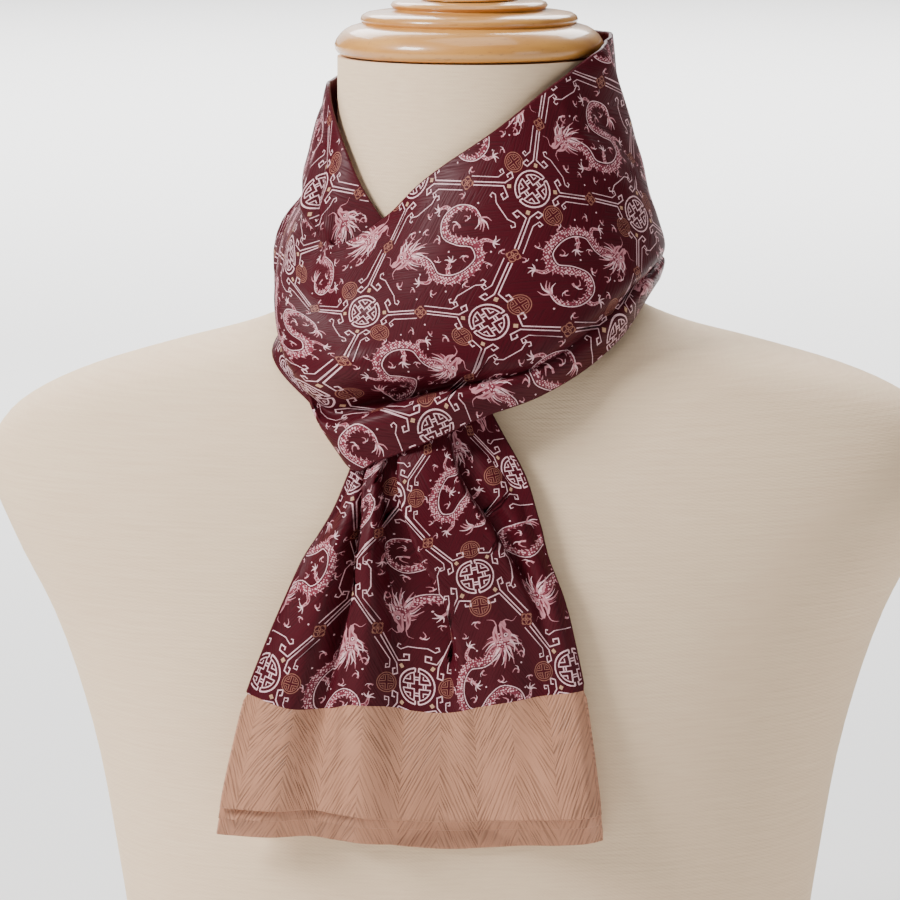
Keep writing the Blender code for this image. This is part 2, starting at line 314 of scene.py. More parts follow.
def turned(name, outline, base):
    """Draws half an outline as a chain of points, then spins it round the axis and closes it."""
    deselect_all()
    bpy.ops.mesh.primitive_plane_add(size=MM, location=(0, 0, 0))
    piece = bpy.context.object
    piece.name = name
    bpy.ops.object.mode_set(mode="EDIT")
    bpy.ops.mesh.select_all(action="SELECT")
    bpy.ops.mesh.merge(type="CENTER")
    at = (0.0, 0.0)
    for radius, height in outline:
        there = (radius * MM, (base + height) * MM)
        step = (there[0] - at[0], 0.0, there[1] - at[1])
        bpy.ops.mesh.extrude_region_move(TRANSFORM_OT_translate={"value": step})
        at = there
    work = bmesh.from_edit_mesh(piece.data)
    start = min(work.verts, key=lambda v: v.co.length)
    bmesh.ops.delete(work, geom=[start], context="VERTS")
    bmesh.update_edit_mesh(piece.data)
    bpy.ops.mesh.select_all(action="SELECT")
    bpy.ops.mesh.spin(steps=LATHE_STEPS, angle=2 * math.pi, center=(0, 0, 0), axis=(0, 0, 1))
    bpy.ops.mesh.select_all(action="SELECT")
    bpy.ops.mesh.remove_doubles(threshold=1e-5)
    bpy.ops.mesh.normals_make_consistent(inside=False)
    bpy.ops.object.mode_set(mode="OBJECT")
    bpy.ops.object.shade_smooth_by_angle(angle=TURNED_EDGE_ANGLE)
    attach(piece, "root")
    print(name, "faces:", len(piece.data.polygons))
    return piece


cap = turned("beech_cap", CAP_OUTLINE, NECK_TOP)
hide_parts("neck_cap")
knob = turned("beech_knob", KNOB_OUTLINE, NECK_TOP + KNOB_BASE)
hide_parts("cap_knob")

# %% [markdown]
# ## The scarf as it lies
#
# Silk keeps its length and width, and only bends. So each stretch is a surface with two coordinates
# that are lengths on the flat cloth: u along the scarf and v across it, in millimetres. The first table
# follows the cloth from the loop at the left, across the throat, round the nape and down into the loop
# again. Each row is one line across the cloth, from its top edge to its lower edge.

# %% The wound stretch: its table
CLEARANCE = 1.6
WRAP_ROWS = np.array((
    # along | top edge | middle | crest of the lowest roll | how deep it is tucked in below it | lower edge
    # Each place is an azimuth in degrees, 0 at the front, a radius from the neck's axis and a height.
    (-176, -156, 61, 408, -155, 71, 398, -153, 78, 388, 1, -152, 80, 380),
    (-142, -134, 61, 414, -133, 73, 400, -132, 80, 388, 1, -131, 82, 379),
    (-110, -110, 61, 424, -110.5, 76, 403, -110.5, 83.5, 389, 1, -110.5, 85, 376),
    (-85, -97, 62, 421, -92, 78, 400, -84, 83, 384, 1, -76, 85, 370),
    (-64, -88, 62, 419, -77, 82, 392, -57, 92, 362, 2, -42, 97.5, 333),
    (-46, -80, 62, 417, -65, 86, 384, -40, 108, 338, 6, -28, 107, 306),
    (-28, -66, 62, 408, -52, 87.5, 375, -27, 108.5, 342, 12, -21, 106, 309.5),
    (0, -46.5, 79, 393, -27, 97, 369, -12, 106, 346, 10, -7, 103, 320),
    (23, -33, 65, 405, -17, 90, 378, -1, 103.5, 347.5, 6, 3, 100.5, 328),
    (46, -20, 62.5, 419, -5, 85, 387, 11, 101.5, 350, 3, 15, 97, 334),
    (92, 10, 61.5, 442, 25, 79, 409, 40, 92, 373, 2, 45, 87, 354),
    (138, 38, 61, 462, 52, 73.5, 427, 66, 86, 386, 3, 72, 83, 373),
    (175, 68, 61, 475, 83, 69.5, 436, 96, 82.5, 390, 2, 101, 83, 377),
    (205, 98, 61, 478, 108, 70, 437, 117, 82.5, 393, 2, 121, 83.5, 380),
    (250, 138, 61, 478, 143, 71, 437, 148, 83.5, 397, 3, 150, 85, 383),
    (300, 184, 61, 474, 184, 72, 432, 184, 85, 397, 4, 184, 86, 383),
    (345, 225, 61, 466, 223, 73, 428, 222, 86, 402, 3, 221, 88, 390),
    (372, 245, 61, 460, 241, 70, 436, 240, 80, 416, 1, 239, 83.5, 407),
    (392, 258, 61, 458, 254, 66, 443, 251, 70.5, 430, 0, 250, 72, 425),
    (412, 271, 61, 457, 270, 65.5, 442, 269, 69.5, 426, 0, 268.5, 71, 421),
    (435, 285, 61, 446.5, 283.5, 66, 433, 282, 71, 421, 0, 281, 72.5, 416.5),
    (458, 298, 61, 433, 296, 67.5, 422, 294, 74.5, 412, 0, 293, 76, 408),
    (478, 309, 61.0, 418.5, 306.5, 69.5, 410.5, 305, 78.0, 402.5, 0, 304, 79.6, 399),
    (500, 321, 61.0, 405.0, 316, 68.5, 398, 312.5, 73.5, 391, 0, 311, 74.5, 387),
    (520, 334, 60.6, 391.0, 330, 66.0, 384, 326, 70.0, 377, 0, 324, 71.0, 373),
), float)
LINE_PLACES = np.array((0.0, 0.36, 0.68, 0.77, 0.88, 1.0))     # top, middle, crest, tuck, lip, lower edge
LIP = 1.5                 # how far the lip stands out under a full tuck
FULL_TUCK = 4.0
TUCK_SHARE = 0.7          # the tuck is this much of the way from the lower edge up to the crest
NEAR_HEIGHTS = (-4.0, 0.0, 4.0)


def resting_on_form(points, clearance):
    """Moves points of the cloth out to where they rest on the linen, if they are nearer than that."""
    azimuth = np.arctan2(points[:, 0], -points[:, 1])
    radius = np.hypot(points[:, 0], points[:, 1])
    needed = np.max([form_radius(points[:, 2] + near, azimuth) for near in NEAR_HEIGHTS], axis=0)
    radius = np.maximum(radius, needed + clearance)
    return np.column_stack((radius * np.sin(azimuth), -radius * np.cos(azimuth), points[:, 2]))


def wrap_surface(along, across):
    """Points of the wound stretch: across is 0 at its top edge and 1 at its lower edge."""
    r = smooth_between(WRAP_ROWS[:, 0], WRAP_ROWS[:, 1:], along)
    top, mid, crest, hem = r[:, 0:3], r[:, 3:6], r[:, 6:9], r[:, 10:13]
    inward = np.column_stack((np.zeros(len(r)), r[:, 9], np.zeros(len(r))))
    lip = LIP * np.clip(r[:, 9:10] / FULL_TUCK, 0.0, 1.0) * np.array((0.0, 1.0, 0.0))
    tuck = TUCK_SHARE * crest + (1 - TUCK_SHARE) * hem - inward
    line = np.stack((top, mid, crest, tuck, 0.5 * (crest + hem) + lip, hem), axis=1)
    key = smooth_in_rows(LINE_PLACES, line, across)
    a = np.radians(key[:, 0])
    points = np.column_stack((key[:, 1] * np.sin(a), -key[:, 1] * np.cos(a), key[:, 2]))
    return resting_on_form(points, CLEARANCE)


print("lines across the wound stretch:", len(WRAP_ROWS))

# %% [markdown]
# ### Its own width and thread
#
# The print must not stretch where the cloth swells over the throat. So the length across the cloth is
# measured on the surface at many places, and v counts those millimetres up from the lower edge. At the
# left fall the lower part is folded under, so there the top edge keeps its thread instead.

# %% Measuring across the wound stretch
HEM_V = 80.0              # the lower edge's place across the cloth, in the print's own millimetres
FOLD_UNDER_FROM = 300.0   # from here on the lower part is folded under


def across_lengths(surface, alongs, steps=160):
    """For each place along, the running length across the cloth, from its first edge to its last."""
    shares = np.linspace(0.0, 1.0, steps)
    lengths = []
    for along in alongs:
        line = surface(np.full(steps, along), shares)
        lengths.append(np.concatenate(([0.0], np.cumsum(np.linalg.norm(np.diff(line, axis=0), axis=1)))))
    return shares, np.array(lengths)


WRAP_ALONGS = np.linspace(WRAP_ROWS[0, 0], WRAP_ROWS[-1, 0], 280)
WRAP_SHARES, WRAP_LENGTHS = across_lengths(wrap_surface, WRAP_ALONGS)
wrap_widths = WRAP_LENGTHS[:, -1]
kept_top = HEM_V - np.interp(FOLD_UNDER_FROM, WRAP_ALONGS, wrap_widths)
WRAP_TOP_V = np.where(WRAP_ALONGS < FOLD_UNDER_FROM, HEM_V - wrap_widths, kept_top)
WRAP_HEM_V = WRAP_TOP_V + wrap_widths
print("visible width of the wound stretch, mm:", round(wrap_widths.min()), "to", round(wrap_widths.max()))


def read_grid(rows, row_keys, column_keys, row, column):
    """Reads a grid of numbers between its rows and columns."""
    a = np.clip(np.interp(row, row_keys, np.arange(len(row_keys))), 0, len(row_keys) - 1.0001)
    b = np.clip(np.interp(column, column_keys, np.arange(len(column_keys))), 0, len(column_keys) - 1.0001)
    i, j = a.astype(int), b.astype(int)
    s, t = a - i, b - j
    return ((1 - s) * (1 - t) * rows[i, j] + s * (1 - t) * rows[i + 1, j]
            + (1 - s) * t * rows[i, j + 1] + s * t * rows[i + 1, j + 1])


LENGTH_SHARES = np.linspace(0.0, 1.0, 121)
WRAP_PLACES = np.array([np.interp(LENGTH_SHARES * line[-1], line, WRAP_SHARES) for line in WRAP_LENGTHS])


def wrap_edge(u, top):
    """The top or the lower edge's place across the cloth."""
    return np.interp(u, WRAP_ALONGS, WRAP_TOP_V if top else WRAP_HEM_V)


def wrap_cloth(u, v):
    """Points of the wound stretch by the flat cloth's own coordinates, before the small creases."""
    top, hem = wrap_edge(u, True), wrap_edge(u, False)
    share = np.clip((v - top) / (hem - top), 0.0, 1.0)
    return wrap_surface(u, read_grid(WRAP_PLACES, WRAP_ALONGS, LENGTH_SHARES, u, share))


# %% [markdown]
# ### The fan at the turn
#
# Where the fold turns round the tails, its lower edge has a much longer way to go than its top edge.
# The length along the cloth is measured there too, on many lines, and the print is laid by that length.

# %% Where the cloth fans round the turn
FAN_FROM = -40.0      # the cloth fans left of this
FAN_ALONGS = np.linspace(FAN_FROM, WRAP_ROWS[0, 0], 137)
FAN_ACROSS = np.linspace(-90.0, HEM_V, 60)


def fan_run():
    """How far along the cloth the fan's places really are, measured on lines along the cloth."""
    run = np.zeros((len(FAN_ALONGS), len(FAN_ACROSS)))
    for k, v in enumerate(FAN_ACROSS):
        start, stop = FAN_ALONGS[:-1], FAN_ALONGS[1:]
        level = np.maximum(v, wrap_edge((start + stop) / 2, True))
        steps = np.linalg.norm(wrap_cloth(stop, level) - wrap_cloth(start, level), axis=1)
        run[1:, k] = np.cumsum(steps)
    return run


FAN_RUN = fan_run()
RUN_LEVELS = np.linspace(0.0, FAN_RUN.max(), 300)
FAN_PLACES = np.column_stack([np.interp(RUN_LEVELS, FAN_RUN[:, k], -FAN_ALONGS)
                              for k in range(len(FAN_ACROSS))])


def fanned_cloth(along, v):
    """Points of the wound stretch, its fan measured along the cloth so that the print isn't stretched."""
    place = -read_grid(FAN_PLACES, RUN_LEVELS, FAN_ACROSS, np.maximum(FAN_FROM - along, 0.0), v)
    return wrap_cloth(np.where(along < FAN_FROM, place, along), v)


def fan_point(u, v):
    """How far along the cloth a place of the fan is, counted as on the flat cloth."""
    return FAN_FROM - read_grid(FAN_RUN, -FAN_ALONGS, FAN_ACROSS, -u, v)


print("the fan's lower edge is", round(FAN_RUN[-1, -1]), "mm long, its top edge",
      round(FAN_FROM - float(fan_point(FAN_ALONGS[-1:], wrap_edge(FAN_ALONGS[-1:], True))[0])))

# %% [markdown]
# ## Creases
#
# Between the large folds, worn silk has shallow troughs and ridges where it turns. Each one here is
# given as a line on the flat cloth, with a width and a depth. They differ in length and depth,
# because evenly spaced creases look like corrugated card.

# %% Creases of the wound stretch
WRAP_CREASES = np.array((
    # from u, v | to u, v | width | height of the ridge (a trough is negative)
    (-70, 58, 30, 30, 7, -1.3),
    (-60, 30, 10, 2, 8, 1.2),
    (-30, 48, 60, 52, 4, -0.9),
    (20, 62, 110, 74, 5, 0.9),
    (30, 20, 120, 12, 10, 0.9),
    (60, 34, 150, 44, 7, -1.0),
    (90, 54, 190, 60, 5, 1.2),
    (96, -20, 190, 0, 8, -1.1),
    (120, -34, 210, -26, 6, 0.9),
    (130, 20, 230, 22, 8, 1.1),
    (150, 64, 240, 58, 5, -1.4),
    (160, 40, 260, 38, 6, -1.2),
    (190, 4, 300, 10, 8, -1.3),
    (200, -22, 290, -18, 7, 1.0),
    (220, 50, 330, 56, 5, 1.3),
    (240, 30, 320, 26, 6, -1.3),
    (280, 66, 350, 60, 5, -1.1),
    (290, -8, 380, -12, 7, 1.0),
    (310, 14, 400, 2, 6, -1.2),
    (340, 36, 400, 14, 6, 1.0),
    (380, -18, 470, -10, 5, -1.0),
    (-230, 60, -100, 54, 6, 1.4),
    (-215, 44, -80, 30, 6, -1.8),
    (-190, 68, -60, 74, 5, -1.2),
    (-170, 24, -60, 4, 6, 1.2),
    (440, -14, 506, 12, 4, -3.2),
    (430, -8, 500, 20, 4, 2.2),
    (150, -54, 168, 40, 6, -2.0),
    (166, -62, 190, 34, 6, 2.0),
    (184, -60, 210, 30, 6, -2.2),
    (202, -60, 234, 26, 6, 1.8),
    (132, -40, 150, 56, 5, 1.3),
    (-120, -20, -66, 44, 7, -1.8),
    (-150, 10, -96, 62, 7, 1.6),
), float)
CREASE_BOW = 0.06         # how far a crease bends, as a share of its length
CREASE_FADE = 1.3         # how its ends die away
CREASE_START = 0.7        # how wide it starts, and how much wider it ends, as shares of its width
CREASE_GROWTH = 0.6
CREASE_STEP = 0.6         # for measuring the way out of the cloth, in millimetres


def crease_height(creases, u, v):
    """How far all the creases of a table lift the cloth at many places."""
    total = np.zeros(len(u))
    for u0, v0, u1, v1, width, height in creases:
        run = np.array((u1 - u0, v1 - v0))
        length = np.hypot(*run)
        run = run / length
        along = ((u - u0) * run[0] + (v - v0) * run[1]) / length
        side = (v - v0) * run[0] - (u - u0) * run[1]
        swell = np.sin(np.pi * np.clip(along, 0, 1))
        spread = width * (CREASE_START + CREASE_GROWTH * np.clip(along, 0, 1))
        total += height * swell**CREASE_FADE * np.exp(-((side - CREASE_BOW * length * swell) / spread) ** 2)
    return total


def cloth_normal(cloth, u, v, step):
    """The way out of the cloth at many places, from its slopes along and across."""
    along = cloth(u + step, v) - cloth(u - step, v)
    across = cloth(u, v + step) - cloth(u, v - step)
    normal = np.cross(across, along)
    return normal / np.maximum(np.linalg.norm(normal, axis=1), 1e-9)[:, None]


def creased(cloth, creases):
    """The same cloth, lifted along its own normal by the creases."""
    def place(u, v):
        return cloth(u, v) + cloth_normal(cloth, u, v, CREASE_STEP) * crease_height(creases, u, v)[:, None]

    return place


print("creases of the wound stretch:", len(WRAP_CREASES))

# %% [markdown]
# ## The print: lines and rings
#
# The print is drawn in the cloth's own millimetres, u along and v across. A shape is a list of corners
# with an ink, and a later shape covers an earlier one, as screens are printed one over another. The
# inks are numbered, and the silk's material turns each number into a colour.

# %% Drawing tools for the print
GROUND, PALE, SCALES, TAN, PEACH, BLUSH, ROSE = range(7)


def smooth_line(points, count):
    """A smooth line through the points, with its corners spaced evenly by length."""
    points = np.asarray(points, float)
    run = np.concatenate(([0.0], np.cumsum(np.linalg.norm(np.diff(points, axis=0), axis=1))))
    return smooth_between(run, points, np.linspace(0.0, run[-1], count))


def stroke(ink, points, width):
    """A line of some width, which may differ from point to point, as one closed outline."""
    points = np.asarray(points, float)
    half = 0.5 * np.broadcast_to(width, len(points))[:, None]
    steps = np.diff(points, axis=0)
    steps /= np.linalg.norm(steps, axis=1)[:, None]
    before = np.vstack((steps[:1], steps))
    after = np.vstack((steps, steps[-1:]))
    side_before = np.column_stack((-before[:, 1], before[:, 0]))
    side_after = np.column_stack((-after[:, 1], after[:, 0]))
    side = side_before + side_after
    side *= 2.0 / np.maximum((side**2).sum(axis=1), 0.5)[:, None]
    return ink, np.vstack((points + side * half, (points - side * half)[::-1]))


def arc(centre, radius, start, end, count):
    """Points of an arc, its angles in degrees."""
    a = np.radians(np.linspace(start, end, count))
    return np.column_stack((centre[0] + radius * np.cos(a), centre[1] + radius * np.sin(a)))


def ring(ink, centre, radius, width, count):
    """A ring, drawn as two half rings that overlap a little."""
    return [stroke(ink, arc(centre, radius, start, start + 182, count // 2), width) for start in (0, 180)]


def mirrored(shapes, across, along):
    """Shapes mirrored over one or both axes of the motif."""
    return [(ink, outline * (along, across)) for ink, outline in shapes]


def turned_round(shapes, degrees):
    """Shapes turned about the middle of the motif."""
    a = math.radians(degrees)
    turn = np.array(((math.cos(a), math.sin(a)), (-math.sin(a), math.cos(a))))
    return [(ink, outline @ turn) for ink, outline in shapes]


def moved(shapes, place):
    """Shapes moved to a place on the cloth."""
    return [(ink, outline + place) for ink, outline in shapes]


def in_four_quarters(shapes):
    """A quarter of a motif and its three mirror images."""
    found = []
    for along in (1, -1):
        for across in (1, -1):
            found += mirrored(shapes, across, along)
    return found


print("inks:", ROSE + 1)

# %% [markdown]
# ## The print: fretwork
#
# The repeat is a net of diamonds. Fretted roundels sit at its corners, joined by double bars with a
# small knot at the middle of each. Fret borders like these are an old common ornament, built from
# straight lines and square hooks, so each is a short list of corners.

# %% Roundels, knots and bars
HALF_REPEAT = (46.0, 38.0)      # from one large roundel to the next, along and across
RIM, LINE, FRET, HAIR = 0.64, 0.52, 0.50, 0.38      # widths of the printed lines, thickest first

quarter_rim = np.vstack(((1.15, 1.15), (1.15, 3.4), (1.15, 6.1), arc((0, 0), 6.3, 78, 12, 7), (3.4, 1.15)))
quarter = [
    stroke(PALE, quarter_rim, FRET),
    stroke(PALE, ((3.4, 1.15), (1.15, 1.15), (1.15, 3.4)), FRET),
    stroke(PALE, ((3.0, 5.5), (3.0, 2.95), (4.6, 2.95)), 0.45),
]
links = [stroke(PALE, ((-1.2, h), (1.2, h)), FRET) for h in (3.0, 4.1, -3.0, -4.1)]
outer_ring = [stroke(PALE, np.vstack(((6.3, 0.75 * side), (7.75, 0.75 * side),
                                      arc((0, 0), 8.0, 7 * side, 173 * side, 17),
                                      (-7.75, 0.75 * side), (-6.3, 0.75 * side))), RIM) for side in (1, -1)]
LARGE_ROUNDEL = in_four_quarters(quarter) + links + turned_round(links, 90) + outer_ring

small_quarter = [stroke(TAN, ((0.6, 3.0), (0.6, 0.6), (3.0, 0.6)), 0.30),
                 stroke(TAN, ((1.5, 2.6), (1.5, 1.5), (2.6, 1.5)), 0.28)]
SMALL_ROUNDEL = (ring(TAN, (0, 0), 4.3, 0.36, 28) + ring(TAN, (0, 0), 3.4, 0.28, 24)
                 + in_four_quarters(small_quarter))

fork = [
    stroke(PALE, ((8.7, 9.15), (4.35, 9.0), (3.45, 11.25), (6.0, 11.4), (6.3, 10.2)), LINE),
    stroke(PALE, ((10.05, 8.4), (11.1, 3.6), (13.35, 3.6), (13.05, 6.0), (11.85, 6.0)), LINE),
    stroke(PEACH, ((7.4, 6.4), (8.8, 7.4)), 1.6),
    stroke(PALE, ((9.9, 12.9), (6.6, 12.9), (6.3, 14.7), (7.8, 14.7), (7.8, 13.65)), HAIR),
]
FORKS = in_four_quarters(fork)

bar = [
    stroke(PALE, ((8.6, 9.08), (36.0, 29.65)), LINE),
    stroke(PALE, ((10.0, 8.35), (37.4, 28.92)), LINE),
    stroke(PALE, ((9.8, 12.85), (19.7, 20.3)), HAIR),
    stroke(PALE, ((36.2, 25.15), (26.3, 17.7)), HAIR),
]
knot = [(GROUND, arc((0, 0), 3.2, 0, 345, 16))]
for dx, dy in ((1, 0), (-1, 0), (0, 1), (0, -1)):
    knot += ring(TAN, (1.25 * dx, 1.25 * dy), 1.35, 0.34, 12)
for way in ((-1, 0), (1, 0), (0, -1), (0, 1)):
    knot.append(stroke(TAN, np.outer((2.2, 3.0), way), 1.1))
BAR = bar + moved(turned_round(knot, 39), (23.0, 19.0))

half_bracket = ((16.6, -0.1), (16.6, 4.4), (15.0, 7.4), (15.7, 8.9), (17.1, 8.4), (16.9, 7.3))
BRACKETS = in_four_quarters([stroke(PALE, half_bracket, HAIR)])
print("corners in a large roundel:", sum(len(outline) for _, outline in LARGE_ROUNDEL))

# %% [markdown]
# ## The print: a dragon of our own
#
# Each diamond holds a long serpent dragon, a motif that silk weavers have used for centuries. This one
# is drawn from scratch, from the parts such a dragon always has: an S-shaped body that swells towards
# the chest, back fins, four clawed legs, a horned head with a mane, and a tail like a flame.

# %% The dragon's body
BODY_LINE = ((20.5, -1.0), (20.0, -7.5), (14.5, -12.0), (7.5, -10.8), (4.6, -5.0), (8.0, 0.6), (13.2, 5.6),
             (12.2, 12.0), (5.2, 15.0), (-3.0, 13.6), (-8.2, 8.6), (-8.4, 1.8), (-11.4, -3.4), (-15.6, -6.4))
BODY_GIRTH = ((0.0, 0.6), (0.08, 1.6), (0.25, 3.0), (0.45, 3.7), (0.7, 4.1), (0.88, 3.7), (1.0, 3.0))
BODY_STEPS = 64

body_line = smooth_line(BODY_LINE, BODY_STEPS)
body_places = np.linspace(0.0, 1.0, BODY_STEPS)
body_girth = np.interp(body_places, *np.transpose(BODY_GIRTH))
body_run = np.gradient(body_line, axis=0)
body_run /= np.linalg.norm(body_run, axis=1)[:, None]
body_side = np.column_stack((-body_run[:, 1], body_run[:, 0]))

fins = []
for k in range(3, BODY_STEPS - 4, 2):     # every second step, clear of the tail's tip and of the head
    root = body_line[k] - body_side[k] * body_girth[k] * 0.40
    reach = 0.6 + 0.26 * body_girth[k]
    fins.append((BLUSH, np.array((root - 0.5 * body_run[k], root + 0.5 * body_run[k],
                                  root - reach * body_side[k] - 0.8 * body_run[k]))))
belly_gap = body_line[6:] + body_side[6:] * (0.40 * body_girth[6:, None])
belly = body_line + body_side * (0.52 * body_girth[:, None])
BODY = fins + [stroke(SCALES, body_line, body_girth), stroke(GROUND, belly_gap, 0.5),
               stroke(PALE, belly, 0.42)]
print("fins:", len(fins))

# %% [markdown]
# ### Its legs
#
# Every tongue of hair, claw or fire is the same shape, a curved stroke that ends in a point. Each leg is
# a short bent stroke with four claws, spread round the way that the foot points.

# %% The dragon's legs
def from_point(point, length, heading):
    """The point that lies some length away, at a heading in degrees."""
    return arc(point, length, heading, heading, 1)[0]


def flame(ink, points, width, count=7):
    """A tongue of mane, beard or fire: a curved stroke that ends in a point."""
    line = smooth_line(points, count)
    return stroke(ink, line, width * np.linspace(1.0, 0.12, count) ** 0.8)


def leg(knee, foot, hip, turn):
    """A short leg with four claws, spread round the way that the foot points."""
    limb = smooth_line((hip, knee, foot), 7)
    shapes = [stroke(BLUSH, limb, np.linspace(2.3, 1.0, 7)),
              stroke(SCALES, limb[:-1], np.linspace(1.7, 0.5, 6))]
    out = np.asarray(foot, float) - knee
    heading = math.degrees(math.atan2(out[1], out[0]))
    for spread in (-75, -28, 22, 68):
        near = from_point(foot, 1.4, heading + spread)
        far = from_point(foot, 2.8, heading + spread + turn)
        shapes.append(flame(PALE, (foot, near, far), 0.8, 5))
    return shapes


LEGS = []
for knee, foot, hip, turn in (
    ((-12.6, 9.2), (-15.8, 7.0), (-8.4, 6.4), 16),
    ((-1.6, 8.8), (0.9, 6.6), (-3.2, 12.4), -16),
    ((9.8, -15.8), (6.8, -16.6), (11.6, -11.8), 16),
    ((17.6, 6.6), (19.9, 9.4), (12.9, 6.6), -16),
):
    LEGS += leg(knee, foot, hip, turn)
print("leg shapes:", len(LEGS))

# %% [markdown]
# ### Its head, tail and sparks
#
# The mane is a fan of tongues from the back of the head. The face lies on it: whiskers, a round cheek,
# both jaws, a mouth, two horns and an eye. Small fire commas and dots fill what the body leaves open.

# %% The dragon's head, tail and sparks
MANE = (
    # heading from the back of the head, length, bend at the tip, width, ink
    (-104, 5.0, 40, 1.0, BLUSH), (-88, 6.6, 34, 1.0, ROSE), (-74, 7.6, 30, 1.0, BLUSH),
    (-60, 6.6, -20, 0.8, PALE), (-48, 8.6, 24, 1.1, BLUSH), (-36, 7.2, -22, 0.9, ROSE),
    (-26, 9.4, 20, 1.0, BLUSH), (-14, 7.6, -18, 0.8, PALE), (-4, 9.8, 16, 1.1, BLUSH),
    (8, 8.0, -20, 1.0, ROSE), (18, 9.8, 18, 1.0, BLUSH), (28, 7.4, 22, 0.8, PALE),
    (40, 9.2, -20, 1.1, BLUSH), (52, 7.6, 24, 1.0, ROSE), (62, 8.6, -22, 1.0, BLUSH),
    (74, 6.8, -26, 0.8, PALE), (86, 7.6, -30, 1.0, BLUSH), (100, 5.6, -34, 0.9, ROSE),
    (114, 4.8, -40, 0.9, BLUSH),
)
# a tuft: its place, heading and width
NECK_TUFTS = ((-13.0, -4.8, 20, 0.7), (-12.2, -7.6, 0, 0.7), (-13.4, -9.4, -24, 0.7), (-11.0, -5.6, 30, 0.6),
              (-10.6, -9.0, -10, 0.6), (-9.2, -7.0, 8, 0.6))
mane = []
for heading, length, bend, width, ink in MANE:
    root = from_point((-16.6, -7.4), 1.8, heading)
    middle = from_point(root, 0.5 * length, heading)
    mane.append(flame(ink, (root, middle, from_point(middle, 0.55 * length, heading + bend)), width, 6))
for x, y, heading, width in NECK_TUFTS:
    line = ((x, y), from_point((x, y), 1.7, heading), from_point((x, y), 3.4, heading + 14))
    mane.append(flame(PALE, line, width, 5))
UPPER_JAW = ((-16.8, -6.9), (-20.2, -6.6), (-22.8, -6.3), (-24.3, -7.2), (-24.1, -8.7), (-22.5, -9.2),
             (-21.1, -8.8), (-20.0, -10.3), (-18.2, -11.2), (-16.2, -10.6), (-15.4, -8.4))
LOWER_JAW = ((-15.2, -4.4), (-17.6, -3.4), (-20.2, -3.6), (-22.4, -4.6), (-23.0, -5.6), (-20.8, -5.5),
             (-18.4, -5.8), (-16.6, -6.2))
CHEEK_SHADE = ((-17.2, -7.7), (-20.0, -7.4), (-22.6, -7.4), (-21.0, -8.0), (-19.4, -9.3), (-17.4, -9.8))
MOUTH = ((-16.4, -5.2), (-18.6, -4.3), (-20.6, -4.5), (-18.4, -5.2))
EYE = (-18.3, -8.7)
FACE = [
    flame(BLUSH, ((-22.6, -6.6), (-24.6, -9.0), (-23.4, -12.2), (-25.0, -14.4)), 0.5, 9),
    flame(BLUSH, ((-22.8, -5.4), (-25.0, -4.6), (-25.8, -1.8)), 0.5, 7),
    (SCALES, arc((-16.4, -7.2), 3.3, 0, 340, 14)),
    (BLUSH, np.array(LOWER_JAW)),
    (BLUSH, np.array(UPPER_JAW)),
    (ROSE, np.array(CHEEK_SHADE)),
    (ROSE, np.array(MOUTH)),
    flame(PALE, ((-18.0, -10.8), (-16.0, -13.2), (-12.8, -13.6)), 0.9),
    flame(PALE, ((-16.0, -10.2), (-13.4, -11.8), (-10.6, -11.4)), 0.9),
    (PALE, arc(EYE, 0.85, 0, 320, 9)),
    (GROUND, arc((EYE[0] - 0.1, EYE[1]), 0.42, 0, 315, 8)),
]
TAIL_FLAME = [flame(BLUSH, ((20.3, -3.0), (20.5, 0.6), (18.6, 3.0)), 1.1),
              flame(PALE, ((20.4, -2.4), (21.6, 0.6), (21.0, 3.6)), 0.9),
              flame(PALE, ((20.2, -2.6), (18.4, -0.4), (16.4, 0.2)), 0.9),
              flame(BLUSH, ((20.3, -2.6), (19.6, -0.2), (18.0, 1.8)), 0.9),
              flame(BLUSH, ((20.4, -2.8), (23.0, -1.2), (23.8, 1.2)), 0.9)]

# a spark: its place, turn and size
SPARK_PLACES = (
    (-2.6, -11.4, 20, 1.0), (0.2, -4.6, 140, 1.1), (-4.0, 2.6, 250, 0.9), (7.2, 8.8, 60, 1.0),
    (15.6, -5.8, 200, 0.9), (-13.0, 14.4, 330, 1.0), (13.4, 17.2, 90, 0.8), (1.6, -17.2, 300, 0.9),
    (-20.4, 8.6, 120, 0.8), (20.8, 15.0, 30, 0.8), (18.4, -15.4, 180, 0.9), (-9.2, -14.6, 40, 1.2),
    (10.4, -5.2, 100, 1.3), (-1.4, 8.0, 220, 0.9), (-24.6, 2.2, 300, 1.1), (1.8, 19.0, 10, 1.0),
)
DOT_PLACES = ((-5.6, -13.8), (2.4, 2.4), (-13.8, 4.0), (10.6, 2.0), (-7.6, 17.0), (23.0, -8.6), (-21.0, 13.0),
              (5.6, -14.2), (17.0, 12.4))
SPARKS = []
for x, y, turn, size in SPARK_PLACES:
    comma = [flame(BLUSH, ((0.9, -0.9), (-0.7, -0.7), (-0.7, 0.9), (1.1, 1.5)), 0.8, 6),
             flame(PALE, ((-0.4, -0.6), (-1.7, -0.1), (-2.1, 1.1)), 0.55, 5)]
    SPARKS += moved(turned_round([(ink, outline * size) for ink, outline in comma], turn), (x, y))
SPARKS += [(PALE, arc(place, 0.42, 0, 300, 6)) for place in DOT_PLACES]
DRAGON = LEGS + BODY + TAIL_FLAME + mane + FACE + SPARKS
print("dragon:", len(DRAGON), "shapes,", sum(len(outline) for _, outline in DRAGON), "corners")

# %% [markdown]
# ### Repeating it
#
# The net is laid over a stretch of cloth from its lower left to its upper right, and only the shapes
# that touch the stretch are kept. Every second diamond is turned, so neighbouring dragons face apart.

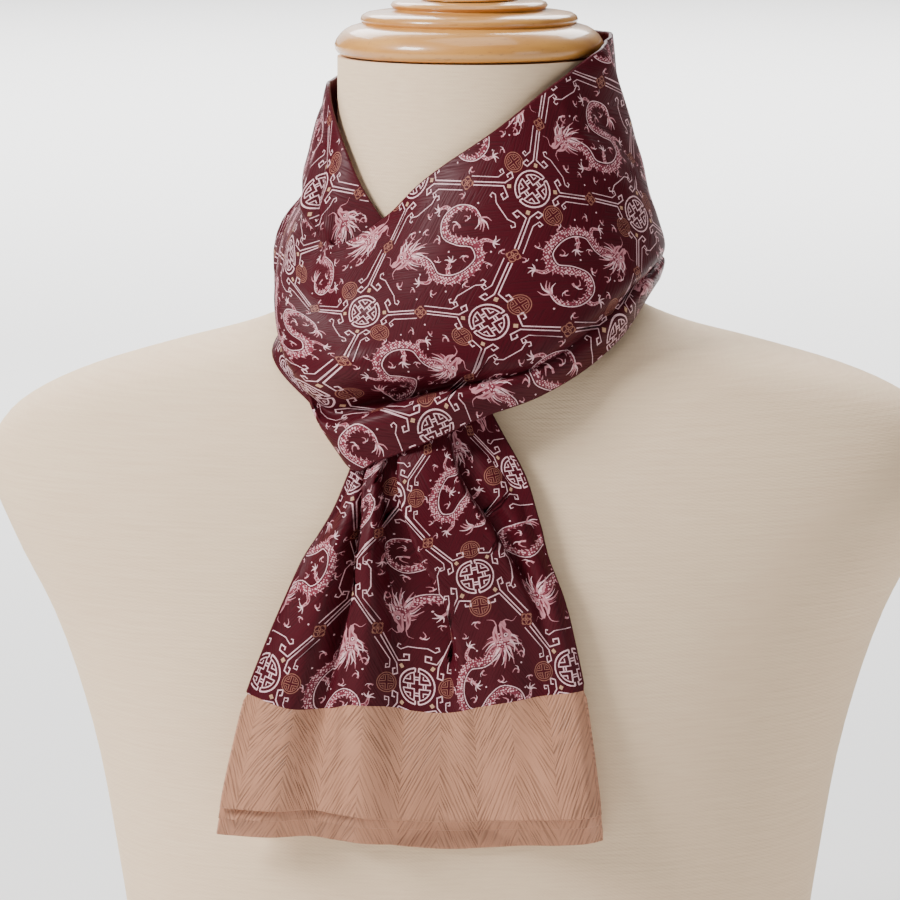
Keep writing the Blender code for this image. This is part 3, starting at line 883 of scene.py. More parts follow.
# %% Repeating the print over a stretch of cloth
SIDE_ROUNDEL = 14.0       # from the middle of a large roundel to the small ones beside it
MARGIN = 2.0              # print is kept this far past the edge of the stretch
MOTIF_REACH = 60.0        # no motif reaches further from its place
NET_PAST_END = 200.0      # the net is laid this far past the end of the stretch


def print_shapes(outline):
    """All shapes of the print that touch the stretch of flat cloth inside an outline."""
    along, across = HALF_REPEAT
    low = outline.min(axis=0) - MARGIN
    high = outline.max(axis=0) + MARGIN
    count = int((np.abs(outline[:, 0]).max() + NET_PAST_END) / along)
    shapes = []
    for i in range(-count, count):
        for j in range(-count, count):
            place = np.array((along * (i + j), across * (i - j)))
            if np.any(place < low - MOTIF_REACH) or np.any(place > high + MOTIF_REACH):
                continue
            odd = (i + j) % 2
            side = np.array((SIDE_ROUNDEL, 0.0) if odd else (0.0, SIDE_ROUNDEL))
            group = moved(BAR + mirrored(BAR, -1, 1) + FORKS + LARGE_ROUNDEL, place)
            group += moved(SMALL_ROUNDEL, place + side) + moved(SMALL_ROUNDEL, place - side)
            group += moved(turned_round(BRACKETS, 90) if odd else BRACKETS, place)
            group += moved(turned_round(DRAGON, 180) if odd else DRAGON, place + (along, 0.0))
            shapes += [(ink, line) for ink, line in group
                       if np.all(line.max(axis=0) > low) and np.all(line.min(axis=0) < high)]
    return shapes


sample = np.array(((0.0, 0.0), HALF_REPEAT))
print("shapes that touch one diamond:", len(print_shapes(sample)))

# %% [markdown]
# ## Turning flat printed cloth into a piece
#
# The flat cloth is cut into triangles that follow every line of the print, so the ink has crisp edges
# from any distance. Each corner is then moved to its place on the scarf. The scarf is a sewn tube that
# is pressed flat, so its two layers are given as one thin wall with soft, rounded edges.

# %% Cutting the flat cloth
SILK_WALL = 1.9           # two layers of silk with a little air between them
CLOTH_SPACING = 2.6       # between the points of the grid that fills in between the lines of the print
BACK_SPACING = 1.6 * CLOTH_SPACING
ROW_SPACING = 0.87        # the rows of a staggered grid lie closer than its columns
CLEAR_OF_EDGE = 0.4       # no point of the grid is nearer to the edge than this share of its spacing


def inside_points(outline, spacing):
    """A staggered grid of points inside an outline, clear of its edge."""
    low, high = outline.min(axis=0), outline.max(axis=0)
    rows = np.arange(low[1], high[1], spacing * ROW_SPACING)
    columns = np.arange(low[0], high[0], spacing)
    grid = np.array([(x + 0.5 * spacing * (k % 2), y) for k, y in enumerate(rows) for x in columns])
    nxt = np.roll(outline, -1, axis=0)
    inside = np.zeros(len(grid), bool)
    nearest = np.full(len(grid), 1e9)
    for a, b in zip(outline, nxt):
        crosses = (a[1] > grid[:, 1]) != (b[1] > grid[:, 1])
        if a[1] != b[1]:
            at = a[0] + (grid[:, 1] - a[1]) * (b[0] - a[0]) / (b[1] - a[1])
            inside ^= crosses & (grid[:, 0] < at)
        run = b - a
        share = np.clip(((grid - a) @ run) / max(run @ run, 1e-12), 0, 1)
        nearest = np.minimum(nearest, np.linalg.norm(grid - a - share[:, None] * run, axis=1))
    return grid[inside & (nearest > CLEAR_OF_EDGE * spacing)]


def anticlockwise(line):
    """The same outline, anticlockwise, because the inside of a shape is on the left of its edge."""
    after = np.roll(line, -1, axis=0)
    turn = (line[:, 0] * after[:, 1] - after[:, 0] * line[:, 1]).sum()
    return line if turn > 0 else line[::-1]


def cut_flat(outline, shapes, spacing):
    """Triangles of the flat cloth, with the ink of the uppermost shape on each."""
    corners = [anticlockwise(line) for line in [outline] + [line for _, line in shapes]]
    corners.append(inside_points(outline, spacing))
    starts = np.concatenate(([0], np.cumsum([len(line) for line in corners])))
    faces = [list(range(starts[k], starts[k + 1])) for k in range(len(corners) - 1)]
    flat = [Vector(point) for line in corners for point in line.tolist()]
    points, _, triangles, _, _, sources = delaunay_2d_cdt(flat, [], faces, 1, 1e-4, True)
    inks = np.array([0] + [ink for ink, _ in shapes])
    kept = [(tri, inks[max(source)]) for tri, source in zip(triangles, sources) if 0 in source]
    triangles = np.array([tri for tri, _ in kept])
    used, triangles = np.unique(triangles, return_inverse=True)
    points = np.array([tuple(p) for p in points])[used]
    triangles = triangles.reshape(-1, 3)
    a, b, c = (points[triangles[:, k]] for k in range(3))
    turn = (b[:, 0] - a[:, 0]) * (c[:, 1] - a[:, 1]) - (b[:, 1] - a[:, 1]) * (c[:, 0] - a[:, 0])
    triangles[turn < 0] = triangles[turn < 0][:, ::-1]
    return points, triangles, np.array([ink for _, ink in kept])


def edge_loop(triangles):
    """The corners round the cloth's edge, in order."""
    edges = np.concatenate((triangles[:, [0, 1]], triangles[:, [1, 2]], triangles[:, [2, 0]]))
    known = set(map(tuple, edges.tolist()))
    follows = {a: b for a, b in known if (b, a) not in known}
    loop = [min(follows)]
    while follows[loop[-1]] != loop[0]:
        loop.append(follows[loop[-1]])
    if len(loop) != len(follows):
        raise ValueError("the cloth's edge isn't one loop")
    return np.array(loop)


print("points in a hand's breadth of plain cloth:",
      len(inside_points(np.array(((0, 0), (80, 0), (80, 80), (0, 80)), float), CLOTH_SPACING)))

# %% [markdown]
# ### Walls and edges
#
# The printed triangles are moved out by half a wall and a plainer copy of the same stretch by half a
# wall the other way. A half-round rim joins them, except where two pieces are sewn edge to edge: there
# the rim is flat, so that the seam closes. The normals are given one by one, because the cloth is smooth
# even where the print has cut it into slivers.

# %% Giving the cloth its place, wall and edges
EDGE_STEP = 0.5           # for measuring the way out of the cloth, in millimetres
RIM_ANGLES = (50, 0, -50)
UV_TO_MM = 100.0          # the flat cloth's map is in centimetres divided by ten


def placed(cloth, flat):
    """Places of flat points on the scarf, and the way out of the cloth there."""
    return cloth(*flat.T), cloth_normal(cloth, *flat.T, EDGE_STEP)


def facing(points, normals, triangles, way):
    """The triangles, wound so that their front is on the side of the normals, or on the other side."""
    a, b, c = (points[triangles[:, k]] for k in range(3))
    agreement = np.median((np.cross(b - a, c - a) * normals[triangles[:, 0]]).sum(axis=1))
    return triangles if agreement * way > 0 else triangles[:, ::-1]


def matching_loop(flat_loop, back_flat, name):
    """The back's own corners for each corner of the front's edge."""
    found = {tuple(np.round(point, 4)): k for k, point in enumerate(back_flat)}
    loop = np.array([found.get(tuple(np.round(point, 4)), -1) for point in flat_loop])
    if np.any(loop < 0):
        raise ValueError(name + ": the back's edge differs from the front's")
    return loop


def cloth_mesh(name, points, normals, flats, faces, ink):
    """A smooth mesh with its normals, its flat map and the number of the ink on each face."""
    mesh = bpy.data.meshes.new(name)
    mesh.vertices.add(len(points))
    mesh.vertices.foreach_set("co", (points * MM).ravel())
    mesh.loops.add(3 * len(faces))
    mesh.loops.foreach_set("vertex_index", faces.ravel())
    mesh.polygons.add(len(faces))
    mesh.polygons.foreach_set("loop_start", 3 * np.arange(len(faces)))
    flat_map = mesh.uv_layers.new(name="flat_cloth")
    flat_map.data.foreach_set("uv", (flats[faces.ravel()] / UV_TO_MM).ravel())
    mesh.attributes.new("ink", "FLOAT", "FACE").data.foreach_set("value", ink.astype(float))
    mesh.update(calc_edges=True)
    mesh.validate()
    mesh.shade_smooth()
    mesh.normals_split_custom_set_from_vertices(normals)
    return mesh


def cloth_piece(name, cloth, outline, shapes, wall=SILK_WALL, butt=None):
    """One closed piece of printed cloth. Its edge is round, but flat where it is sewn at butt."""
    flat, triangles, inks = cut_flat(outline, shapes, CLOTH_SPACING)
    centre, normal = placed(cloth, flat)
    if (centre * (1, 1, 0) * normal).sum(axis=1).mean() < 0:
        raise ValueError(name + " is inside out")
    triangles = facing(centre, normal, triangles, 1)
    loop = edge_loop(triangles)
    back_flat, back_triangles, _ = cut_flat(flat[loop], [], BACK_SPACING)
    back_centre, back_normal = placed(cloth, back_flat)
    back_triangles = facing(back_centre, back_normal, back_triangles, -1)
    back_loop = matching_loop(flat[loop], back_flat, name)

    edge = centre[loop]
    out = np.cross(np.roll(edge, -1, axis=0) - np.roll(edge, 1, axis=0), normal[loop])
    out /= np.maximum(np.linalg.norm(out, axis=1), 1e-9)[:, None]
    sewn = np.zeros(len(loop), bool) if butt is None else np.abs(flat[loop][:, 0] - butt) < 0.01
    reach = np.where(sewn, 0.0, 0.5 * wall)[:, None]
    points = [centre + 0.5 * wall * normal, back_centre - 0.5 * wall * back_normal]
    normals = [normal, -back_normal]
    rows = [loop]
    start = len(flat) + len(back_flat)
    for angle in RIM_ANGLES:
        rise, go = math.sin(math.radians(angle)), math.cos(math.radians(angle))
        points.append(edge + 0.5 * wall * rise * normal[loop] + reach * go * out)
        normals.append(rise * normal[loop] + go * out)
        rows.append(start + np.arange(len(loop)))
        start += len(loop)
    rows.append(len(flat) + back_loop)
    rim = []
    for upper, lower in zip(rows, rows[1:]):
        rim.append(np.column_stack((upper, lower, np.roll(lower, -1))))
        rim.append(np.column_stack((upper, np.roll(lower, -1), np.roll(upper, -1))))

    faces = np.concatenate([triangles, back_triangles + len(flat)] + rim)
    ink = np.concatenate((inks, np.full(len(faces) - len(inks), GROUND)))
    flats = np.concatenate([flat, back_flat] + [flat[loop]] * len(RIM_ANGLES))
    mesh = cloth_mesh(name, np.concatenate(points), np.concatenate(normals), flats, faces, ink)
    piece = bpy.data.objects.new(name, mesh)
    bpy.context.scene.collection.objects.link(piece)
    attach(piece, "root")
    print(name, "triangles:", len(faces))
    return piece


# %% [markdown]
# ## The wound stretch as a piece
#
# From the turn at the left, over the throat, round the nape and down into the loop, the scarf shows as
# one unbroken length of silk. So it is cut as one piece too, and stands for four construction solids.

# %% The wound stretch as a piece
EDGE_POINTS = 230
END_POINTS = 22


def wrap_line(top):
    """The top or the lower edge of the wound stretch on the flat cloth, from left to right."""
    fan, rest = FAN_ALONGS[::-1], np.linspace(FAN_FROM, WRAP_ALONGS[-1], EDGE_POINTS)[1:]
    return np.vstack((np.column_stack((fan_point(fan, wrap_edge(fan, top)), wrap_edge(fan, top))),
                      np.column_stack((rest, wrap_edge(rest, top)))))


wrap_hem, wrap_top = wrap_line(False), wrap_line(True)
end_across = np.linspace(wrap_top[0, 1], wrap_hem[0, 1], END_POINTS + 2)[1:-1]
wrap_end = np.column_stack((fan_point(np.full(END_POINTS, FAN_ALONGS[-1]), end_across), end_across))
wrap_outline = np.vstack((wrap_hem, wrap_top[::-1], wrap_end))
wrap = cloth_piece("wound_silk", creased(fanned_cloth, WRAP_CREASES), wrap_outline,
                   print_shapes(wrap_outline))
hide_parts("band_front", "bight_turn", "nape_wrap", "left_fall")

# %% [markdown]
# ## The hanging tails
#
# Both ends of the scarf hang through the loop, one on the other. At the top they are gathered by the
# loop, so each tail is read from an outline that narrows upwards, and its width is taken up by folds.
# They are listed in two tables: where each fold stands at a height, and how far forward it is.

# %% The tails: tables
TAIL_OUTLINE = np.array((
    # height, left edge, right edge, front
    (340, -34, 1, 88),
    (318, -42, 12, 94.5),
    (300, -51, 22, 101.5),
    (285, -58, 27, 104.5),
    (270, -67.5, 32, 106),
    (250, -77, 39.5, 107),
    (230, -85.5, 44, 107.6),
    (212, -92.5, 47.5, 108),
    (185, -99.5, 51.5, 108.5),
    (144, -108, 56.5, 109),
), float)
TAIL_TOP = 338.0
BORDER_LINE = 205.5       # heights of the seams and hems
REAR_BORDER_LINE = 196.0
FRONT_HEM = 157.5
REAR_HEM = 144.5
TAIL_WAVES = np.array((
    # share of the width, how much higher the threads lie there at the border line, and at the hem
    (0.00, 5.5, 4.6),
    (0.14, 0.0, 4.4),
    (0.26, -0.4, 3.9),
    (0.33, 1.9, 2.4),
    (0.40, 1.2, 1.2),
    (0.49, -1.6, -0.2),
    (0.61, -2.1, -1.3),
    (0.70, 0.8, -0.6),
    (0.82, 4.0, 0.4),
    (1.00, 6.8, 1.7),
), float)
HEM_TUCK = 7.5            # how far the cloth below the front hem turns back
REAR_SETBACK = 5.2        # how far the rear tail hangs behind the front one, and below it
REAR_LOWER = 4.0
TAIL_WIDTH = 160.0
TAIL_LEFT_V = -81.0       # puts a large roundel at the middle of the border line
TAIL_THREADS = np.array((
    # height, and the print's own place along the scarf there
    (140, -72), (180, -40), (205, -11.5), (215.8, 0), (260.5, 46), (279, 70), (296.5, 92), (320, 121),
    (340, 146),
), float)
TAIL_SPREAD = np.array((
    # height, and how far across the tail a quarter, a half and three quarters of its cloth have come
    (140, 0.25, 0.50, 0.75),
    (215, 0.24, 0.49, 0.74),
    (262, 0.20, 0.43, 0.70),
    (296, 0.13, 0.31, 0.635),
    (340, 0.13, 0.31, 0.635),
), float)
FOLD_PLACES = np.array((
    # height | shares of the width: left edge, left panel, foot and top of the narrow fold, its crest,
    # floor of the valley, foot and top of the front fold, its middle, top and foot of the right crease,
    # right panel, right edge
    (340, 0, 0.05, 0.080, 0.100, 0.145, 0.200, 0.225, 0.250, 0.42, 0.600, 0.640, 0.80, 1),
    (300, 0, 0.05, 0.085, 0.105, 0.155, 0.225, 0.270, 0.300, 0.45, 0.635, 0.680, 0.83, 1),
    (280, 0, 0.09, 0.150, 0.172, 0.225, 0.310, 0.385, 0.415, 0.58, 0.770, 0.820, 0.92, 1),
    (258, 0, 0.12, 0.208, 0.232, 0.290, 0.390, 0.515, 0.548, 0.70, 0.840, 0.885, 0.95, 1),
    (236, 0, 0.13, 0.222, 0.252, 0.315, 0.430, 0.580, 0.618, 0.75, 0.870, 0.905, 0.96, 1),
    (214, 0, 0.13, 0.228, 0.268, 0.340, 0.460, 0.600, 0.650, 0.78, 0.880, 0.920, 0.97, 1),
    (190, 0, 0.13, 0.235, 0.290, 0.360, 0.480, 0.600, 0.660, 0.80, 0.890, 0.930, 0.97, 1),
    (140, 0, 0.14, 0.240, 0.310, 0.380, 0.500, 0.600, 0.670, 0.80, 0.890, 0.930, 0.97, 1),
), float)
FOLD_RISES = np.array((
    # height | how far forward, in millimetres, at each of those places
    (340, -3, -1.0, -3.0, 0.0, 0.0, -3.0, -3.0, 1.0, 1.0, 1.0, -2.5, -1.0, -3),
    (300, -5, -0.5, -7.5, 2.5, 3.5, -9.0, -9.5, 5.0, 5.0, 3.5, -7.0, 0.0, -4),
    (280, -5, 2.0, -7.5, 5.5, 7.0, -9.5, -9.5, 7.5, 7.0, 5.0, -7.0, 1.0, -4),
    (258, -4, 3.5, -7.0, 6.0, 7.5, -9.0, -8.5, 6.5, 6.5, 2.5, -3.0, 1.5, -3),
    (236, -3, 4.0, -6.0, 3.5, 5.5, -6.5, -5.0, 4.0, 5.0, 1.0, -0.5, 1.0, -2.5),
    (214, -2, 3.5, -4.0, 1.0, 4.0, -4.0, -2.5, 1.4, 3.5, 0.0, 0.0, 0.5, -2),
    (190, -1.5, 3.0, -2.5, 0.0, 3.2, -2.0, -3.0, -2.0, 1.5, 3.2, 3.6, 3.2, -1.0),
    (140, -1, 2.0, -1.6, 0.0, 2.6, -1.4, -3.0, -2.4, 1.5, 4.0, 4.6, 4.0, -0.5),
), float)
print("tail tables:", len(TAIL_OUTLINE), "outline rows,", len(FOLD_PLACES), "fold rows")

# %% [markdown]
# ### Folds and laps
#
# A fold is an eased step in how far forward the cloth hangs. Where the step is high, the silk laps over
# itself: the top of the step leans over its foot, and the cloth beside it is drawn in, so that a part of
# the print is hidden, as in real gathered silk.

# %% Folds and laps of the tails
LAPS = (
    # the columns of its foot and of its top in the two tables, which way the top reaches over the foot
    (2, 3, 1),
    (6, 7, 1),
    (10, 9, -1),
)
LAP_FULL_RISE = 13.0      # a lap this high hides as much cloth and reaches over as far as a lap can
LAP_HIDES = 0.036         # these four are shares of the tail's width
LAP_REACHES = 0.040
LAP_EASE = 0.20           # how far beside a lap the cloth is drawn in
LAP_HOLLOW = 0.075        # how far beyond the foot the cloth still leans


def folds_at(height):
    """Where the folds stand at many heights, and how far forward they are."""
    return (smooth_between(FOLD_PLACES[::-1, 0], FOLD_PLACES[::-1, 1:], height),
            smooth_between(FOLD_RISES[::-1, 0], FOLD_RISES[::-1, 1:], height))


def tail_folds(across, height):
    """How far the folds push the tail forward: an eased step from each place of the table to the next."""
    places, rises = folds_at(height)
    last = places.shape[1] - 2
    i = np.clip((places < across[:, None]).sum(axis=1) - 1, 0, last)
    n = np.arange(len(i))
    t = np.clip((across - places[n, i]) / (places[n, i + 1] - places[n, i]), 0.0, 1.0)
    return rises[n, i] + (rises[n, i + 1] - rises[n, i]) * t * t * (3 - 2 * t)


def lap_sizes(height):
    """For each lap: where its foot and top stand at a height, and how full the lap is there, 0 to 1."""
    places, rises = folds_at(height)
    for foot, top, way in LAPS:
        full = np.clip((rises[:, top] - rises[:, foot]) / LAP_FULL_RISE, 0.0, 1.0)
        yield places[:, foot], places[:, top], way, full


def gathered_into_laps(across, height):
    """Draws the cloth on both sides of each lap into the lap, where it can't be seen."""
    for foot, top, way, full in lap_sizes(height):
        middle, half = 0.5 * (foot + top), 0.5 * np.abs(top - foot)
        side, size = np.sign(across - middle), np.abs(across - middle)
        taken = half + LAP_HIDES * full
        inner = size * half / taken
        outer = half + (size - taken) * (LAP_EASE - half) / (LAP_EASE - taken)
        across = middle + side * np.where(size < taken, inner, np.where(size < LAP_EASE, outer, size))
    return across


def lap_overhang(across, height):
    """How far the cloth goes sideways under each lap, as a share of the width."""
    total = np.zeros(len(height))
    for foot, top, way, full in lap_sizes(height):
        beyond = (foot - across) * way
        width = np.where(beyond > 0, LAP_HOLLOW, np.abs(top - foot))
        t = np.clip(1.0 - np.abs(beyond) / width, 0.0, 1.0)
        total += way * LAP_REACHES * full**2 * t * t * (3 - 2 * t)
    return total


print("laps:", len(LAPS))

# %% [markdown]
# ### The tails' surface
#
# The flat cloth's thread gives a height, and its place across gives a share of the tail's width. The
# outline, the folds and the laps then give the place in space. The rear tail is the same cloth, hung a
# little further back and lower, because both ends come out of one loop.

# %% The tails' surface
TAIL_CURVE = 1.5          # how far the tails' edges turn back, and how much more for each height
CURVE_FROM = 260.0
CURVE_GROWTH = 0.13
TUCK_LIMIT = 1.3          # the cloth turns back a little further below the rear hem
QUARTERS = np.linspace(0.0, 1.0, 5)


def tail_surface(height, across, setback, lower):
    """Points of a tail. The rear tail is set back, and its outline is that of a place higher up."""
    at = np.minimum(height + lower, TAIL_OUTLINE[0, 0])
    r = smooth_between(TAIL_OUTLINE[::-1, 0], TAIL_OUTLINE[::-1], at)
    edge = (2 * across - 1) ** 2 * (TAIL_CURVE + CURVE_GROWTH * np.maximum(0.0, height - CURVE_FROM))
    edge += HEM_TUCK * np.clip((FRONT_HEM - height) / (FRONT_HEM - REAR_HEM), 0.0, TUCK_LIMIT)
    sideways = across + lap_overhang(across, height)
    points = np.column_stack(((1 - sideways) * r[:, 1] + sideways * r[:, 2],
                              -r[:, 3] - tail_folds(across, height) + setback + edge, height))
    return resting_on_form(points, CLEARANCE + REAR_SETBACK - setback)


def tail_cloth(setback, lower):
    """The tail by the flat cloth's coordinates, u upwards and v from left to right."""
    def place(u, v):
        share = (v - TAIL_LEFT_V) / TAIL_WIDTH
        height = smooth_between(TAIL_THREADS[:, 1], TAIL_THREADS[:, 0], u)
        waves = smooth_between(TAIL_WAVES[:, 0], TAIL_WAVES[:, 1:], share)
        low = np.clip((BORDER_LINE - height) / (BORDER_LINE - FRONT_HEM), 0.0, 1.0)
        height = height + (1 - low) * waves[:, 0] + low * waves[:, 1]
        quarters = smooth_between(TAIL_SPREAD[:, 0], TAIL_SPREAD[:, 1:], height)
        line = np.column_stack((np.zeros(len(u)), quarters, np.ones(len(u))))
        across = gathered_into_laps(smooth_in_rows(QUARTERS, line, share), height)
        return tail_surface(height, across, setback, lower)

    return place


def thread_at(height):
    """The print's place along the scarf at a height of the tail."""
    return float(np.interp(height, TAIL_THREADS[:, 0], TAIL_THREADS[:, 1]))


print("threads from hem to loop, mm:", round(thread_at(TAIL_TOP) - thread_at(FRONT_HEM)))

# %% [markdown]
# ### The tails as pieces
#
# Each tail is a printed length and a champagne border, sewn edge to edge. The borders end in a rolled
# hem. The silk is doubled, so at the front border's hem the second layer shows below the first, drawn
# in by small puckers.

# %% The tails as pieces
TAIL_CREASES = np.array((
    # from u, v | to u, v | width | height of the ridge
    (140, -50, 30, -66, 6, 0.8),
    (130, -20, 20, -34, 6, -0.9),
    (110, 10, 0, 6, 7, 0.7),
    (120, 34, 10, 40, 6, -0.8),
    (100, 56, -6, 66, 5, 0.8),
    (60, -52, -60, -60, 6, -0.6),
    (50, 20, -60, 30, 8, 0.5),
), float)
HEM_PUCKERS = np.array((
    (-66, -78, -58, -70, 1.6, 1.0),
    (-68, -70, -58, -61, 1.5, 1.1),
    (-69, -61, -60, -53, 1.6, 0.9),
    (-69, -53, -61, -46, 1.7, 1.1),
    (-69, -44, -62, -38, 1.6, 0.8),
), float)
LINING_SETBACK = 2.7
LINING_WALL = 1.2
LINING_TOP = 185.0
LINING_HEM = 152.5
ACROSS_POINTS = 54        # along each level edge of a piece's outline
UPRIGHT_GAP = 3           # millimetres between the points of its upright edges


def hem_roll(foot, drop):
    """Creases for a rolled hem: a low ridge just above the edge, and the edge itself turned back."""
    left, right = TAIL_LEFT_V - 10, TAIL_LEFT_V + TAIL_WIDTH + 10
    return ((foot + 4.2, left, foot + 4.2, right, 2.6, 0.9), (foot, left, foot, right, 2.4, -drop))


def tail_outline(top, foot):
    """The flat outline of a stretch of a tail, between two places along the scarf."""
    across = np.linspace(TAIL_LEFT_V, TAIL_LEFT_V + TAIL_WIDTH, ACROSS_POINTS)
    up = np.linspace(foot, top, max(4, int((top - foot) / UPRIGHT_GAP)))[1:-1]
    corners = [(foot, v) for v in across] + [(u, across[-1]) for u in up]
    corners += [(top, v) for v in across[::-1]] + [(u, across[0]) for u in up[::-1]]
    return np.array(corners)


front = creased(tail_cloth(0.0, 0.0), TAIL_CREASES)
rear = creased(tail_cloth(REAR_SETBACK, REAR_LOWER), TAIL_CREASES)
lining = creased(creased(tail_cloth(LINING_SETBACK, 0.0), TAIL_CREASES), HEM_PUCKERS)
front_hemmed = creased(front, hem_roll(thread_at(FRONT_HEM), 0.8))
rear_hemmed = creased(rear, hem_roll(thread_at(REAR_HEM), 2.2))

TAIL_PIECES = (
    # name, surface, top, foot, height of its seam, wall, the solid that it stands for
    ("front_tail_silk", front, TAIL_TOP, BORDER_LINE, BORDER_LINE, SILK_WALL, "front_tail"),
    ("rear_tail_silk", rear, TAIL_TOP - REAR_LOWER, REAR_BORDER_LINE, REAR_BORDER_LINE, SILK_WALL,
     "rear_tail"),
    ("front_border_silk", front_hemmed, BORDER_LINE, FRONT_HEM, BORDER_LINE, SILK_WALL, "front_tail_border"),
    ("front_border_lining", lining, LINING_TOP, LINING_HEM, None, LINING_WALL, None),
    ("rear_border_silk", rear_hemmed, REAR_BORDER_LINE, REAR_HEM, REAR_BORDER_LINE, SILK_WALL,
     "rear_tail_border"),
)
tails, borders = [], []
for name, cloth, top, foot, seam, wall, solid in TAIL_PIECES:
    printed = "tail_silk" in name
    outline = tail_outline(thread_at(top), thread_at(foot))
    piece = cloth_piece(name, cloth, outline, print_shapes(outline) if printed else [], wall,
                        thread_at(seam) if seam else None)
    if solid:
        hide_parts(solid)
    (tails if printed else borders).append(piece)

# %% [markdown]
# ## Finishes
#
# Every finish is worked out from nodes, with no picture. A few short functions place and link the
# nodes, so that each material below reads as a recipe.

# %% Helpers for materials
NODE_COLUMN, NODE_ROW = 190, 210      # the nodes stand in columns of six, so that they can be read
NODES_IN_COLUMN = 6


def add_node(tree, kind, **settings):
    """A new node, in the next free place on the left of the shader."""
    column, row = divmod(len(tree.nodes) - 2, NODES_IN_COLUMN)
    node = tree.nodes.new(kind)
    node.location = (NODE_COLUMN * column - 2400, 900 - NODE_ROW * row)
    for name, value in settings.items():
        setattr(node, name, value)
    return node


def feed(tree, socket, value):
    """Links a socket to another, or sets it to a number or a colour."""
    if isinstance(value, bpy.types.NodeSocket):
        tree.links.new(value, socket)
    elif value is not None:
        socket.default_value = value


def maths(tree, operation, first, second=None, third=None):
    """One step of arithmetic on numbers or sockets."""
    node = add_node(tree, "ShaderNodeMath", operation=operation)
    for socket, value in zip(node.inputs, (first, second, third)):
        feed(tree, socket, value)
    return node.outputs[0]


def held_0_to_1(tree, value):
    """A number kept between 0 and 1."""
    return maths(tree, "MINIMUM", maths(tree, "MAXIMUM", value, 0.0), 1.0)


def mixed(tree, factor, first, second, blend="MIX"):
    """A colour mix. Sockets 0, 6 and 7 of its node are the factor and the two colours."""
    node = add_node(tree, "ShaderNodeMix", data_type="RGBA", blend_type=blend)
    for socket, value in ((node.inputs[0], factor), (node.inputs[6], first), (node.inputs[7], second)):
        feed(tree, socket, value)
    return node.outputs[2]


def vector_of(tree, x, y, z=None):
    """A vector from its three numbers."""
    node = add_node(tree, "ShaderNodeCombineXYZ")
    for socket, value in zip(node.inputs, (x, y, z)):
        feed(tree, socket, value)
    return node.outputs["Vector"]


def parts_of(tree, vector):
    """The three numbers of a vector."""
    node = add_node(tree, "ShaderNodeSeparateXYZ")
    feed(tree, node.inputs["Vector"], vector)
    return node.outputs["X"], node.outputs["Y"], node.outputs["Z"]


def noise(tree, vector, scale=1.0, detail=2.0, distortion=0.0):
    """Soft noise read at a vector."""
    node = add_node(tree, "ShaderNodeTexNoise")
    for name, value in (("Vector", vector), ("Scale", scale), ("Detail", detail), ("Distortion", distortion)):
        feed(tree, node.inputs[name], value)
    return node.outputs["Fac"]


def stretched(tree, vector, scales):
    """A vector with each of its numbers scaled."""
    node = add_node(tree, "ShaderNodeMapping")
    feed(tree, node.inputs["Vector"], vector)
    node.inputs["Scale"].default_value = scales
    return node.outputs["Vector"]


def raise_surface(tree, height, strength, depth):
    """Lets a height catch the light as relief, without moving the mesh."""
    relief = add_node(tree, "ShaderNodeBump")
    relief.inputs["Strength"].default_value = strength
    relief.inputs["Distance"].default_value = depth
    feed(tree, relief.inputs["Height"], height)
    feed(tree, tree.nodes["Principled BSDF"].inputs["Normal"], relief.outputs["Normal"])


def dressed(pieces, material):
    """Gives pieces their finish."""
    for piece in pieces:
        piece.data.materials.clear()
        piece.data.materials.append(material)
    print(material.name, "nodes:", len(material.node_tree.nodes))


print("helpers are ready")

# %% [markdown]
# ### The jacquard's weave
#
# The silk is woven in broad chevrons of broken strokes that catch the light in turns. A column of
# strokes is half a chevron wide, and every second one slants the other way. The strokes run in the flat
# cloth's coordinates, so they follow each fold, and noise drawn out along them breaks them up.

# %% The jacquard's weave
CHEVRON_WIDTH = 17.0      # half a chevron, across the cloth
CHEVRON_SHIFT = -10.8     # puts a point of the chevrons where the middle of the border has one
CHEVRON_SLOPE = 1.73
STROKE_TURN = 2.3         # how fast the strokes follow one another, in radians to a millimetre
STROKE_SWAY = 14.0
COLUMN_STEP = 3.7         # keeps one column's noise apart from the next
# how fine each noise is across the strokes and along them, for one millimetre
SWAY_NOISE = (0.16, 0.016)
BREAK_NOISE = (0.62, 0.050)
PATCH_NOISE = (0.05, 0.025)
# each of these two turns a noise into a share: a factor, and what is added
BREAK_SHARE = (5.0, -1.9)
PATCH_SHARE = (1.6, -0.15)
WEAVE_LEVEL = 0.75        # the height of the weave between its strokes


def stroke_noise(tree, over, reach, column, density, stretch):
    """Noise drawn out along the woven strokes: each column of the chevrons has its own."""
    return noise(tree, vector_of(tree, maths(tree, "MULTIPLY", over, density),
                                 maths(tree, "MULTIPLY", reach, stretch),
                                 maths(tree, "MULTIPLY", column, COLUMN_STEP)), detail=1.0)


